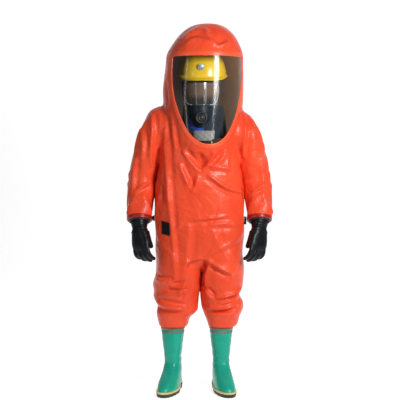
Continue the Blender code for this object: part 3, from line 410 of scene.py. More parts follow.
def make_materials():
    """Every finish. A drift is darker tone, lighter tone, noise scale and range of roughness."""
    return {
        "suit": finish(
            "coated_fabric", (0.86, 0.080, 0.028), 0.3,
            ((0.80, 0.062, 0.022), (0.90, 0.092, 0.032), 5.0, (0.24, 0.36)),
            [(0.008, NOISE, 8, 2, 1.2), (0.005, NOISE, 26, 3, 0.8), (0.0006, NOISE, 110, 2),
             (0.00006, WEAVE, 0.0011)],
            Coat_Weight=0.07, Coat_Roughness=0.16, Specular_IOR_Level=0.2),
        "welded": finish(
            "welded_border", (0.88, 0.10, 0.036), 0.34,
            ((0.84, 0.085, 0.030), (0.91, 0.11, 0.040), 12.0, (0.28, 0.40)),
            [(0.0012, NOISE, 60, 3)],
            Coat_Weight=0.12, Coat_Roughness=0.2, Specular_IOR_Level=0.28),
        "lining": make_inner_coating(),
        "visor": make_clear("visor_film", (0.93, 0.95, 0.94), 2.4, -0.075),
        "mask_clear": make_clear("mask_lens_clear", (0.88, 0.86, 0.82), 1.0, 0.0,
                                 smoke=(0.34, 0.22, 0.16)),
        "cuff": finish(
            "cuff_red", (0.32, 0.008, 0.010), 0.32,
            ((0.25, 0.006, 0.008), (0.38, 0.012, 0.012), 20.0, (0.26, 0.40)),
            [(0.0004, NOISE, 140, 2)], Coat_Weight=0.3),
        "glove": finish(
            "glove_rubber", (0.006, 0.006, 0.008), 0.36,
            ((0.003, 0.004, 0.005), (0.009, 0.010, 0.012), 18.0, (0.28, 0.42)),
            [(0.0022, NOISE, 60, 4, 0.5), (0.0002, NOISE, 500, 2)],
            Coat_Weight=0.05, Coat_Roughness=0.25, Specular_IOR_Level=0.2),
        "boot": finish(
            "boot_rubber", (0.012, 0.40, 0.27), 0.3,
            ((0.007, 0.33, 0.222), (0.010, 0.41, 0.285), 7.0, (0.24, 0.40)),
            [(0.0022, NOISE, 24, 3), (0.0002, NOISE, 260, 2)],
            Coat_Weight=0.12, Coat_Roughness=0.15, Specular_IOR_Level=0.25),
        "sole": finish(
            "outsole_rubber", (0.028, 0.030, 0.020), 0.62,
            ((0.018, 0.020, 0.014), (0.05, 0.05, 0.035), 30.0, (0.5, 0.75)),
            [(0.0006, NOISE, 200, 3)]),
        "line": finish(
            "sole_line", (0.62, 0.52, 0.17), 0.45,
            ((0.50, 0.40, 0.12), (0.70, 0.60, 0.24), 30.0, (0.38, 0.55)),
            [(0.0003, NOISE, 200, 2)]),
        "rim": finish(
            "boot_rim", (0.40, 0.16, 0.09), 0.5,
            ((0.32, 0.12, 0.07), (0.46, 0.20, 0.12), 30.0, (0.4, 0.6)),
            [(0.0003, NOISE, 200, 2)]),
        "band": finish(
            "boot_band_grey", (0.10, 0.19, 0.17), 0.5,
            ((0.07, 0.15, 0.13), (0.15, 0.24, 0.21), 60.0, (0.4, 0.6)),
            [(0.0002, NOISE, 300, 2)]),
        "plastic": finish(
            "black_plastic", (0.014, 0.014, 0.015), 0.42,
            ((0.009, 0.009, 0.010), (0.022, 0.022, 0.024), 40.0, (0.34, 0.52)),
            [(0.00012, NOISE, 900, 2)]),
        "webbing": finish(
            "webbing_black", (0.018, 0.018, 0.019), 0.8,
            ((0.012, 0.012, 0.013), (0.03, 0.03, 0.032), 60.0, (0.7, 0.9)),
            [(0.0005, WEAVE, 0.0016)], Sheen_Weight=0.3),
        "pile": finish(
            "loop_pile", (0.006, 0.006, 0.007), 0.95,
            ((0.003, 0.003, 0.004), (0.012, 0.012, 0.013), 300.0),
            [(0.0012, NOISE, 900, 4)], Sheen_Weight=0.05, Specular_IOR_Level=0.1),
        "helmet": finish(
            "helmet_yellow", (0.90, 0.58, 0.025), 0.28,
            ((0.86, 0.54, 0.020), (0.94, 0.64, 0.035), 10.0, (0.22, 0.34)),
            [(0.0002, NOISE, 120, 2)], Coat_Weight=0.3, Coat_Roughness=0.12),
        "navy": finish(
            "mask_rubber", (0.006, 0.014, 0.026), 0.42,
            ((0.004, 0.010, 0.018), (0.012, 0.024, 0.042), 20.0, (0.34, 0.55)),
            [(0.0004, NOISE, 200, 3)], Specular_IOR_Level=0.3),
        "blue": finish(
            "patch_blue", (0.02, 0.05, 0.42), 0.45,
            ((0.012, 0.03, 0.30), (0.04, 0.11, 0.85), 60.0, (0.4, 0.55)),
            [(0.0002, NOISE, 300, 2)]),
        "bib": finish(
            "bib_grey", (0.36, 0.35, 0.34), 0.85,
            ((0.32, 0.31, 0.30), (0.40, 0.39, 0.38), 25.0, (0.75, 0.95)),
            [(0.0005, WEAVE, 0.002), (0.003, NOISE, 40, 3)]),
        "dark": finish(
            "undergarment", (0.010, 0.014, 0.022), 0.85,
            ((0.003, 0.009, 0.018), (0.010, 0.024, 0.044), 16.0, (0.75, 0.95)),
            [(0.008, NOISE, 22, 4), (0.0003, WEAVE, 0.0016)], Sheen_Weight=0.2),
        "steel": finish(
            "brushed_metal", (0.60, 0.60, 0.61), 0.3,
            ((0.50, 0.50, 0.51), (0.68, 0.68, 0.69), 60.0, (0.22, 0.40), (1, 1, 12)),
            [(0.0001, NOISE, 300, 2, 0.0, (1, 1, 14))], metallic=1.0),
        "silver": finish(
            "badge_silver", (0.40, 0.43, 0.47), 0.45,
            ((0.20, 0.22, 0.26), (0.60, 0.63, 0.68), 160.0, (0.3, 0.45)),
            [(0.0002, NOISE, 400, 2)], metallic=0.3),
        "edge": finish(
            "lens_edge", (0.75, 0.78, 0.78), 0.25,
            ((0.68, 0.71, 0.72), (0.80, 0.82, 0.83), 60.0, (0.2, 0.35)),
            [(0.0001, NOISE, 300, 2)]),
        "brass": finish(
            "zip_brass", (0.52, 0.40, 0.17), 0.32,
            ((0.44, 0.33, 0.13), (0.60, 0.47, 0.22), 200.0, (0.24, 0.42)),
            [(0.00008, NOISE, 700, 2)], metallic=1.0),
        "floor": make_floor_finish(),
    }


def make_inner_coating():
    """The cloth's inside, near black on the right and brown on the left, where light comes in: the
    brown and a faint glow are painted light.
    """
    lining = new_material("inner_coating", (0.12, 0.075, 0.045), 0.55, Specular_IOR_Level=0.2)
    shader = lining.node_tree.nodes["Principled BSDF"]
    # painted light: the lining's colour runs from near black on the right to a lit brown on the left,
    # where light falls in
    painted_light_ramp = ramp(lining, along_axis(lining, "X", 0.02, 0.20),
                [(0.0, (0.10, 0.075, 0.06)), (1.0, (0.75, 0.50, 0.32))])
    link(lining, painted_light_ramp, shader.inputs["Base Color"])
    link(lining, painted_light_ramp, shader.inputs["Emission Color"])   # painted light: the lining glows in the same tone, standing in for daylight through the cloth
    shader.inputs["Emission Strength"].default_value = 0.15
    bump(lining, [(0.003, NOISE, 30, 3)])
    return lining


def make_floor_finish():
    """White by its own glow under and behind the suit, and plain grey in front and far aside."""
    floor = new_material("studio_floor", (0.86, 0.86, 0.86), 0.55)
    shader = floor.node_tree.nodes["Principled BSDF"]
    shader.inputs["Emission Color"].default_value = (1, 1, 1, 1)
    link(floor, ramp(floor, along_axis(floor, "Y", GLOW_START_Y, GLOW_FULL_Y),
                     [(0.0, (0.42, 0.42, 0.42)), (1.0, (0.86, 0.86, 0.86))]),
         shader.inputs["Base Color"])
    behind = along_axis(floor, "Y", GLOW_START_Y, GLOW_FULL_Y, 0.0, 0.66)
    rightwards = along_axis(floor, "X", GLOW_HALF_WIDTH, GLOW_HALF_WIDTH + 0.4, 1.0, 0.35)
    leftwards = along_axis(floor, "X", -GLOW_HALF_WIDTH, -GLOW_HALF_WIDTH - 0.4, 1.0, 0.35)
    glow = product_of(floor, behind, product_of(floor, rightwards, leftwards))
    link(floor, glow, shader.inputs["Emission Strength"])
    link(floor, spread(floor, noise_factor(floor, 1.8), 0.5, 0.6), shader.inputs["Roughness"])
    return floor


def make_clear(name, tint, gain, offset, smoke=None):
    """A thin clear film: it lets light straight through and adds a gloss, and a haze if asked.

    The haze is nearly black low down, where the dark mask shows, and brown above.
    """
    material = new_material(name, tint, 0.04, IOR=1.45)
    tree = material.node_tree
    shader = tree.nodes["Principled BSDF"]
    clear = add_node(material, "ShaderNodeBsdfTransparent", Color=(*tint, 1))
    mix = tree.nodes.new("ShaderNodeMixShader")
    edge = add_node(material, "ShaderNodeFresnel", IOR=1.5)
    level = tree.nodes.new("ShaderNodeMath")
    level.operation = "MULTIPLY_ADD"
    level.inputs[1].default_value = gain
    level.inputs[2].default_value = offset
    level.use_clamp = True
    link(material, edge.outputs["Fac"], level.inputs[0])
    gloss = add_node(material, "ShaderNodeBsdfGlossy", Color=(1, 1, 1, 1))
    scratches = noise_factor(material, 60, 3)
    link(material, spread(material, scratches, 0.13, 0.16), gloss.inputs["Roughness"])
    link(material, level.outputs[0], mix.inputs["Fac"])
    through = clear.outputs["BSDF"]
    if smoke:
        haze = add_node(material, "ShaderNodeBsdfDiffuse")
        upper = along_axis(material, "Z", SMOKE_LOW_Z, SMOKE_HIGH_Z)
        link(material, ramp(material, upper,
                            [(0.0, (0.03, 0.045, 0.06)), (0.6, smoke), (1.0, smoke)]),
             haze.inputs["Color"])
        hazed = add_node(material, "ShaderNodeMixShader", Fac=0.5)
        link(material, through, hazed.inputs[1])
        link(material, haze.outputs["BSDF"], hazed.inputs[2])
        through = hazed.outputs["Shader"]
    link(material, through, mix.inputs[1])
    link(material, gloss.outputs["BSDF"], mix.inputs[2])
    link(material, mix.outputs["Shader"], tree.nodes["Material Output"].inputs["Surface"])
    tree.nodes.remove(shader)
    return material


M = make_materials()


def finish_piece(obj, body, slot, *nodes):
    """Puts a piece in place on its body, in the stead of the CAD nodes named."""
    place(obj)
    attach(obj, body)
    if nodes:
        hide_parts(*nodes)
    return obj


# The garment

SMOOTH_HOOD = resample(HOOD, 120)


def hood_at(z):
    """Middle x, half width, front and back depth of the hood at a height."""
    return [float(np.interp(z, SMOOTH_HOOD[:, 0], SMOOTH_HOOD[:, k])) for k in range(1, 5)]


def hood_point(angle, z, out=0.0):
    """A point of the hood's skin, angle measured from straight ahead towards +X."""
    middle, half, front, back = hood_at(z)
    depth = front if math.cos(angle) > 0 else back
    reach = (
        abs(math.sin(angle) / half) ** HOOD_POWER + abs(math.cos(angle) / depth) ** HOOD_POWER
    ) ** (-1 / HOOD_POWER) + out
    return Vector((middle + reach * math.sin(angle), -reach * math.cos(angle), z))


TORSO_HALF = np.array([(row[0], row[1]) for row in TORSO])
SLEEVE_SPREAD, LEG_SPREAD = 0.050, 0.014


def sleeve_spread(z):
    """How far a sleeve is held off the trunk while the skin is made, so that the two stay apart."""
    return SLEEVE_SPREAD * (1 - smoothstep(z, 1.08, 1.21))


def leg_spread(z):
    return LEG_SPREAD * (1 - smoothstep(z, 0.58, 0.70))


def sleeve_rings(sign):
    rings = []
    for outer_x, outer_z, inner_x, inner_z, y, depth, pitch in resample(SLEEVE, 60):
        middle = np.array(((outer_x + inner_x) / 2, y, (outer_z + inner_z) / 2))
        across = np.array((outer_x - inner_x, 0, outer_z - inner_z)) / 2
        tilt = math.radians(pitch)
        ahead = np.array((0, math.cos(tilt), -math.sin(tilt))) * depth
        t = np.arange(RING)[:, None] * 2 * math.pi / RING
        points = middle + across * np.cos(t) + ahead * np.sin(t)
        points[:, 0] += sleeve_spread(points[:, 2])
        rings.append(points * (sign, 1, 1))
    return rings


def leg_rings(rows, sign):
    return [
        ring((outer + inner) / 2 + sign * leg_spread(z), 0, z, abs(outer - inner) / 2, depth,
             depth, LEG_POWER)
        for z, outer, inner, depth in resample(rows, 80)
    ]


def garment_solids():
    torso = [ring(0, 0, z, half, front, back, TORSO_POWER)
             for z, half, front, back in resample(TORSO, 90)]
    hood = [[hood_point(2 * math.pi * i / RING, z) for i in range(RING)]
            for z in SMOOTH_HOOD[:, 0]]
    parts = [loft("torso", torso), loft("hood", hood)]
    parts += [loft("sleeve", sleeve_rings(sign)) for _, sign in SIDES]
    parts += [loft("leg", leg_rings(rows, sign)) for rows, sign in ((RIGHT_LEG, -1), (LEFT_LEG, 1))]
    return parts


def trunk_half(z):
    return np.interp(z, TORSO_HALF[:, 0], TORSO_HALF[:, 1])


def leg_gap(z):
    """Middle of the gap between the legs."""
    right = np.interp(-z, [-row[0] for row in RIGHT_LEG], [row[2] for row in RIGHT_LEG])
    left = np.interp(-z, [-row[0] for row in LEFT_LEG], [row[2] for row in LEFT_LEG])
    return (right + left) / 2


def on_sleeve(points):
    """Which points of the spread skin are the sleeves'."""
    x, z = np.abs(points[:, 0]), points[:, 2]
    limit = np.where(z > 1.19, 0.200, trunk_half(z) + 0.002 + sleeve_spread(z) / 2)
    hood_side = (np.interp(z, SMOOTH_HOOD[:, 0], SMOOTH_HOOD[:, 2])
                 + np.sign(points[:, 0]) * np.interp(z, SMOOTH_HOOD[:, 0], SMOOTH_HOOD[:, 1]))
    limit = np.where(z > 1.38, np.maximum(limit, hood_side + 0.006), limit)
    return (x > limit) & (z > 0.82) & (z < 1.50)


def gathered(points):
    """The spread skin's points, with the sleeves and legs back where they belong."""
    out = points.copy()
    x, z = points[:, 0], points[:, 2]
    apart = sleeve_spread(z)
    share = np.clip((np.abs(x) - trunk_half(z)) / (apart + 0.004), 0, 1)
    out[:, 0] -= np.where(z > 0.80, np.sign(x) * apart * share, 0)
    inner = 1 - smoothstep(np.abs(out[:, 0]) - trunk_half(z), 0.005, 0.06)
    level = smoothstep(z, 0.97, 1.05) * (1 - smoothstep(z, 1.16, 1.20))
    out[:, 0] -= np.where(on_sleeve(points), np.sign(x) * 0.007 * inner * level, 0)
    raised = smoothstep(-x, 0.15, 0.21) * (1 - smoothstep(-x, 0.25, 0.31))
    out[:, 2] += 0.020 * raised * smoothstep(z, 1.37, 1.44)
    apart = leg_spread(z)
    share = np.clip((x - leg_gap(z)) / (apart + 0.004), -1, 1)
    out[:, 0] -= np.where(z < 0.72, apart * share, 0)
    return out


# Folds. Each is a soft ridge along a line, with the hollow that goes with it on one side

def along_path(flat, path):
    """Distance to a path in a plane, the side of it, and how far along the path it is."""
    lengths = np.linalg.norm(np.diff(path, axis=0), axis=1)
    starts = np.concatenate([[0], np.cumsum(lengths)])
    best = np.full(len(flat), np.inf)
    side, share = np.zeros(len(flat)), np.zeros(len(flat))
    for k, length in enumerate(lengths):
        direction = (path[k + 1] - path[k]) / length
        offset = flat - path[k]
        t = np.clip(offset @ direction, 0, length)
        gap = offset - t[:, None] * direction
        distance = np.linalg.norm(gap, axis=1)
        nearer = distance < best
        best[nearer] = distance[nearer]
        cross = direction[0] * offset[:, 1] - direction[1] * offset[:, 0]
        side[nearer] = np.sign(cross)[nearer]
        share[nearer] = ((starts[k] + t) / starts[-1])[nearer]
    return best, side, share


FACINGS = {  # the plane a fold is drawn in, and the way its cloth faces
    "front": ((0, 2), (0, -1, 0)), "back": ((0, 2), (0, 1, 0)),
    "right": ((1, 2), (-1, 0, 0)), "left": ((1, 2), (1, 0, 0)),
}


def fold(points, normals, facing, height, width, path, hollow=0.7, ends=0.5):
    """How far each point moves along its normal for one fold."""
    axes, towards = FACINGS[facing]
    path = smooth_path(path)
    facing_share = smoothstep(normals @ np.array(towards), 0.05, 0.45)
    low, high = path.min(0) - 4 * width, path.max(0) + 4 * width
    flat = points[:, list(axes)]
    near = np.all((flat > low) & (flat < high), axis=1) & (facing_share > 0)
    distance, side, share = along_path(flat[near], path)
    signed = distance * side / width
    shape = np.exp(-1.15 * np.abs(signed) ** 1.4) - hollow * np.exp(-(signed - 1.4) ** 2)
    taper = np.sin(np.pi * np.clip(share, 0, 1)) ** ends
    beyond = np.where((share <= 0) | (share >= 1), np.exp(-(distance / width) ** 2), 1)
    moved = np.zeros(len(points))
    moved[near] = height * shape * taper * beyond * facing_share[near]
    return moved


def smooth_path(path):
    return resample(path, 4 * len(path)) if len(path) > 2 else np.array(path, float)


# (facing, height, width, path): the path is x, z on the front and back, and y, z on the sides
FOLDS = [
    # the long welded edge down the right of the chest and belly
    ("front", 0.008, 0.015, [(-0.165, 1.46), (-0.169, 1.27), (-0.160, 1.11), (-0.146, 0.93),
                             (-0.134, 0.80), (-0.126, 0.66), (-0.125, 0.56)]),
    ("front", -0.010, 0.020, [(-0.197, 1.36), (-0.200, 1.24), (-0.196, 1.10), (-0.186, 0.97)]),
    ("front", 0.008, 0.013, [(-0.190, 1.24), (-0.186, 1.15), (-0.196, 1.06), (-0.206, 0.99)]),
    ("front", 0.007, 0.012, [(-0.142, 1.44), (-0.130, 1.34), (-0.120, 1.24)]),
    # the hollow under the visor and the folds that run from it
    ("front", 0.013, 0.013, [(-0.085, 1.245), (-0.050, 1.195), (-0.012, 1.150), (0.012, 1.138)]),
    ("front", 0.012, 0.013, [(0.012, 1.138), (0.032, 1.165), (0.060, 1.20), (0.078, 1.245)]),
    ("front", -0.012, 0.022, [(0.000, 1.235), (0.010, 1.19), (0.013, 1.155)]),
    ("front", 0.011, 0.014, [(-0.100, 1.18), (-0.072, 1.11), (-0.048, 1.06), (-0.030, 1.03)]),
    ("front", 0.010, 0.013, [(-0.030, 1.03), (-0.018, 1.08), (-0.004, 1.12)]),
    ("front", 0.013, 0.012, [(0.220, 1.030), (0.175, 1.040), (0.131, 1.058), (0.085, 1.088),
                             (0.038, 1.122)]),
    ("front", 0.008, 0.012, [(0.205, 1.142), (0.150, 1.147), (0.105, 1.156), (0.056, 1.158)]),
    ("front", 0.010, 0.014, [(0.052, 1.155), (0.085, 1.175), (0.119, 1.215), (0.133, 1.26)]),
    ("front", 0.006, 0.012, [(0.150, 1.25), (0.140, 1.18), (0.132, 1.11)]),
    # belly and hips
    ("front", 0.009, 0.010, [(0.150, 0.915), (0.080, 0.905), (0.010, 0.899), (-0.060, 0.892)]),
    ("front", 0.006, 0.012, [(0.195, 0.865), (0.120, 0.872), (0.050, 0.868)]),
    ("front", 0.007, 0.011, [(-0.080, 0.878), (-0.100, 0.862), (-0.125, 0.838)]),
    ("front", 0.006, 0.022, [(-0.052, 0.885), (-0.060, 0.80), (-0.066, 0.70), (-0.070, 0.62)]),
    ("front", 0.005, 0.020, [(0.070, 0.86), (0.085, 0.80), (0.110, 0.74)]),
    ("front", 0.006, 0.014, [(0.200, 0.80), (0.150, 0.770), (0.080, 0.735), (0.030, 0.705)]),
    ("front", 0.014, 0.013, [(0.172, 0.617), (0.130, 0.636), (0.085, 0.662), (0.040, 0.692)]),
    ("front", 0.010, 0.014, [(0.010, 0.705), (-0.040, 0.690), (-0.085, 0.662)]),
    ("front", -0.022, 0.013, [(0.028, 0.690), (0.026, 0.650), (0.018, 0.600), (0.016, 0.55)]),
    # bunched cloth over the right knee
    ("front", 0.012, 0.013, [(-0.225, 0.587), (-0.180, 0.580), (-0.130, 0.576)]),
    ("front", 0.014, 0.012, [(-0.150, 0.553), (-0.105, 0.553), (-0.055, 0.558)]),
    ("front", 0.012, 0.012, [(-0.180, 0.523), (-0.120, 0.523), (-0.060, 0.532)]),
    ("front", 0.014, 0.013, [(-0.220, 0.470), (-0.160, 0.456), (-0.105, 0.443), (-0.055, 0.440)]),
    ("front", 0.010, 0.012, [(-0.060, 0.600), (-0.080, 0.560), (-0.100, 0.520), (-0.110, 0.490)]),
    ("front", -0.010, 0.010, [(-0.210, 0.437), (-0.150, 0.425), (-0.080, 0.424)]),
    # and over the left
    ("front", 0.015, 0.012, [(0.030, 0.532), (0.055, 0.505), (0.075, 0.492)]),
    ("front", 0.016, 0.011, [(0.215, 0.540), (0.180, 0.520), (0.140, 0.506), (0.080, 0.498)]),
    ("front", 0.012, 0.012, [(0.205, 0.500), (0.150, 0.480), (0.095, 0.470)]),
    ("front", 0.014, 0.012, [(0.200, 0.462), (0.140, 0.446), (0.080, 0.440), (0.045, 0.450)]),
    ("front", -0.010, 0.010, [(0.190, 0.432), (0.130, 0.420), (0.060, 0.426)]),
    # shoulders and sleeves
    ("front", 0.010, 0.013, [(-0.240, 1.43), (-0.236, 1.34), (-0.246, 1.22), (-0.238, 1.15)]),
    ("front", 0.008, 0.012, [(-0.292, 1.35), (-0.284, 1.27), (-0.290, 1.19)]),
    ("front", 0.008, 0.013, [(-0.325, 1.21), (-0.335, 1.12), (-0.342, 1.03)]),
    ("front", 0.009, 0.011, [(-0.260, 1.075), (-0.295, 1.055), (-0.330, 1.030)]),
    ("front", 0.010, 0.012, [(0.232, 1.43), (0.232, 1.36), (0.226, 1.28), (0.222, 1.20)]),
    ("front", 0.008, 0.012, [(0.262, 1.40), (0.276, 1.32), (0.282, 1.24)]),
    ("front", 0.008, 0.013, [(0.322, 1.28), (0.318, 1.18), (0.326, 1.09), (0.330, 1.01)]),
    ("front", 0.009, 0.011, [(0.340, 1.075), (0.300, 1.05), (0.268, 1.030)]),
    ("right", 0.002, 0.014, [(-0.07, 1.16), (-0.01, 1.12), (0.05, 1.13)]),
    ("right", 0.002, 0.013, [(-0.08, 1.08), (-0.02, 1.07), (0.05, 1.09)]),
    ("right", 0.010, 0.016, [(-0.06, 1.40), (-0.05, 1.30), (-0.04, 1.22)]),
    ("right", 0.009, 0.016, [(0.05, 1.42), (0.05, 1.33), (0.03, 1.24)]),
    ("left", 0.002, 0.014, [(-0.07, 1.15), (-0.01, 1.12), (0.05, 1.14)]),
    ("left", 0.002, 0.013, [(-0.08, 1.07), (-0.02, 1.06), (0.05, 1.09)]),
    ("left", 0.010, 0.016, [(-0.05, 1.41), (-0.04, 1.31), (-0.05, 1.22)]),
    ("left", 0.009, 0.016, [(0.06, 1.42), (0.04, 1.33), (0.04, 1.25)]),
    # hood: a dent and a ridge over the visor
    ("front", 0.010, 0.016, [(0.030, 1.86), (0.045, 1.81), (0.080, 1.765), (0.100, 1.755)]),
    ("front", -0.008, 0.018, [(0.130, 1.80), (0.105, 1.775), (0.085, 1.765)]),
    ("front", 0.009, 0.015, [(0.150, 1.785), (0.120, 1.765), (0.085, 1.757)]),
    ("front", 0.007, 0.014, [(-0.080, 1.765), (-0.020, 1.795), (0.040, 1.780), (0.075, 1.758)]),
    ("front", 0.006, 0.016, [(-0.085, 1.79), (-0.045, 1.83), (0.005, 1.86)]),
    ("front", -0.005, 0.016, [(-0.168, 1.60), (-0.160, 1.52), (-0.158, 1.46)]),
    # back: drawn down from the shoulders, and slack over the hips
    ("back", 0.009, 0.018, [(-0.150, 1.46), (-0.130, 1.34), (-0.140, 1.20), (-0.120, 1.06)]),
    ("back", 0.009, 0.018, [(0.150, 1.45), (0.140, 1.33), (0.150, 1.18), (0.130, 1.05)]),
    ("back", 0.010, 0.016, [(-0.200, 1.02), (-0.140, 1.00), (-0.075, 1.02)]),
    ("back", 0.010, 0.016, [(0.200, 1.04), (0.150, 1.01), (0.080, 1.00)]),
    ("back", 0.009, 0.016, [(-0.190, 0.82), (-0.130, 0.78), (-0.060, 0.74)]),
    ("back", 0.009, 0.016, [(0.190, 0.83), (0.130, 0.79), (0.060, 0.75)]),
    ("back", 0.012, 0.014, [(-0.190, 0.57), (-0.120, 0.555), (-0.050, 0.565)]),
    ("back", 0.012, 0.013, [(-0.190, 0.51), (-0.120, 0.500), (-0.060, 0.515)]),
    ("back", 0.012, 0.013, [(-0.190, 0.455), (-0.130, 0.445), (-0.075, 0.455)]),
    ("back", 0.012, 0.014, [(0.190, 0.56), (0.120, 0.550), (0.050, 0.560)]),
    ("back", 0.012, 0.013, [(0.185, 0.50), (0.120, 0.495), (0.050, 0.505)]),
    ("back", 0.012, 0.013, [(0.180, 0.45), (0.120, 0.440), (0.060, 0.450)]),
    ("right", 0.008, 0.018, [(-0.10, 1.02), (-0.09, 0.90), (-0.10, 0.78)]),
    ("right", 0.008, 0.020, [(0.10, 1.06), (0.09, 0.94), (0.10, 0.80)]),
    ("left", 0.008, 0.018, [(-0.11, 1.05), (-0.09, 0.93), (-0.09, 0.80)]),
    ("left", 0.008, 0.020, [(0.09, 1.06), (0.10, 0.95), (0.08, 0.82)]),
]


FOLD_GAIN = 1.3
ZIP_MIDDLE_Z, ZIP_HALF = 1.10, 0.36
MOUNTED = ("valve_flange_left", "valve_flange_right", "passthrough_flange")


def add_folds(obj):
    """Moves the garment's skin by every fold, then by the slow unevenness of any cloth."""
    points, normals = points_of(obj), normals_of(obj)
    shift = np.zeros(len(points))
    for facing, height, width, path in FOLDS:
        shift += FOLD_GAIN * fold(points, normals, facing, height, width, path)
    x, y, z = points.T
    slow = (np.sin(21 * z + 5 * x + 1.3) * np.sin(17 * x + 9 * y + 6 * z)
            + 0.6 * np.sin(39 * z - 22 * x + 13 * y))
    calm = smoothstep(z, 1.35, 1.60)
    shift += 0.0022 * slow * (1 - 0.75 * calm)
    set_points(obj, points + normals * (shift * free_share(points))[:, None])


def free_share(points):
    """0 where something flat is mounted on the cloth, 1 where the cloth is free to fold."""
    share = smoothstep(visor_distance(points), 0.018, 0.060)
    x, y, z = points.T
    zip_side = smoothstep(np.abs(x), 0.050, 0.085)
    zip_end = smoothstep(np.abs(z - ZIP_MIDDLE_Z), ZIP_HALF, ZIP_HALF + 0.04)
    share *= np.where(y > 0, np.maximum(zip_side, zip_end), 1)
    for node in MOUNTED:
        low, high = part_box(node)
        centre = np.array((low + high) / 2) - (0, AXIS_Y, 0)
        reach = max(high - low) / 2
        share *= smoothstep(np.linalg.norm(points - centre, axis=1), reach + 0.004, reach + 0.035)
    for end_z, tall in ((CUFF_Z, 0.02), (WRIST.z, 0.025)):
        near_end = smoothstep(np.abs(z - end_z), 0.004, tall)
        share *= near_end if end_z == CUFF_Z else np.where(np.abs(x) > 0.235, near_end, 1)
    return share


# The visor's outline, in angle round the hood and height

def visor_half_angle(z):
    """Half the window's angle at a height: a U with a level top."""
    t = np.clip((VISOR_SIDE_Z - np.asarray(z, float)) / (VISOR_SIDE_Z - VISOR_BOTTOM_Z), 0, 1)
    return VISOR_HALF_ANGLE * (1 - t ** 1.3) ** 0.45


def visor_outline(count=160):
    """The window's closed outline as (angle, height), evenly spaced."""
    up = []
    for t in np.linspace(0, math.pi / 2, 60):
        z = VISOR_SIDE_Z - (VISOR_SIDE_Z - VISOR_BOTTOM_Z) * math.cos(t) ** (2 / 1.3)
        up.append((float(visor_half_angle(z)), z))
    corner = 0.012
    for t in np.linspace(0, math.pi / 2, 6):
        up.append((VISOR_HALF_ANGLE - corner / MEAN_RADIUS * (1 - math.cos(t)),
                   VISOR_TOP_Z - corner * (1 - math.sin(t))))
    half = up + [(0.0, VISOR_TOP_Z)]
    whole = half + [(-a, z) for a, z in half[-2:0:-1]]
    path = np.array(whole + whole[:1])
    scaled = path * (MEAN_RADIUS, 1)
    at = np.concatenate([[0], np.cumsum(np.linalg.norm(np.diff(scaled, axis=0), axis=1))])
    steps = np.linspace(0, at[-1], count + 1)[:-1]
    return [(float(np.interp(s, at, path[:, 0])), float(np.interp(s, at, path[:, 1])))
            for s in steps]


OUTLINE = visor_outline()


def hood_angles(points):
    """Each point's angle round the hood's upright axis, from the visor's middle."""
    middle = np.interp(points[:, 2], SMOOTH_HOOD[:, 0], SMOOTH_HOOD[:, 1])
    return np.arctan2(points[:, 0] - middle, -points[:, 1]) - VISOR_YAW


def visor_distance(points):
    """Distance of each point outside the window, along the hood; negative inside it."""
    flat = np.stack([hood_angles(points) * MEAN_RADIUS, points[:, 2]], 1)
    outline = np.array(OUTLINE) * (MEAN_RADIUS, 1)
    distance = np.full(len(flat), np.inf)
    for p in outline:
        distance = np.minimum(distance, np.linalg.norm(flat - p, axis=1))
    inside = ((np.abs(flat[:, 0]) < visor_half_angle(flat[:, 1]) * MEAN_RADIUS)
              & (flat[:, 1] > VISOR_BOTTOM_Z) & (flat[:, 1] < VISOR_TOP_Z) & (points[:, 1] < 0))
    return np.where(inside, -distance, distance)


# The garment's skin, from solids to folded pieces

def cut_end(work, faces, at, outward):
    """Opens a sleeve or leg at a plane, and turns its edge in."""
    geometry = list({v for f in faces for v in f.verts} | {e for f in faces for e in f.edges}
                    | set(faces))
    cut = bmesh.ops.bisect_plane(work, geom=geometry, plane_co=at, plane_no=outward,
                                 clear_outer=True)["geom_cut"]
    edge = [e for e in cut if isinstance(e, bmesh.types.BMEdge) and len(e.link_faces) == 1]
    rim = {v for e in edge for v in e.verts}
    middle = sum((v.co for v in rim), Vector()) / len(rim)
    for share, depth in ((0.03, 0.0015), (0.10, 0.0005), (0.20, -0.004)):
        made = bmesh.ops.extrude_edge_only(work, edges=edge)["geom"]
        edge = [e for e in made if isinstance(e, bmesh.types.BMEdge)]
        for v in {v for e in edge for v in e.verts}:
            v.co = v.co.lerp(middle, share) + outward * depth


def settle_mounts(skin):
    """Lays the cloth back on its true outline where the visor and the zip are welded to it."""
    points = points_of(skin)
    x, y, z = points.T
    middle = np.interp(z, SMOOTH_HOOD[:, 0], SMOOTH_HOOD[:, 1])
    outward = np.stack([x - middle, y, np.zeros(len(x))], 1)
    outward /= np.linalg.norm(outward, axis=1)[:, None]
    weight = 1 - smoothstep(visor_distance(points), 0.022, 0.050)
    gap = hood_gap(points)
    weight *= (np.abs(gap) < 0.02) & (y < 0.1)
    points -= outward * (gap * weight)[:, None]
    back = BACK_AT_800 + BACK_LEAN * (z - 0.8)
    weight = (1 - smoothstep(np.abs(x), 0.055, 0.085)) * (y > 0.1)
    weight *= 1 - smoothstep(np.abs(z - ZIP_MIDDLE_Z), ZIP_HALF - 0.01, ZIP_HALF + 0.02)
    points[:, 1] += (back - 0.0006 - y) * weight
    set_points(skin, points)


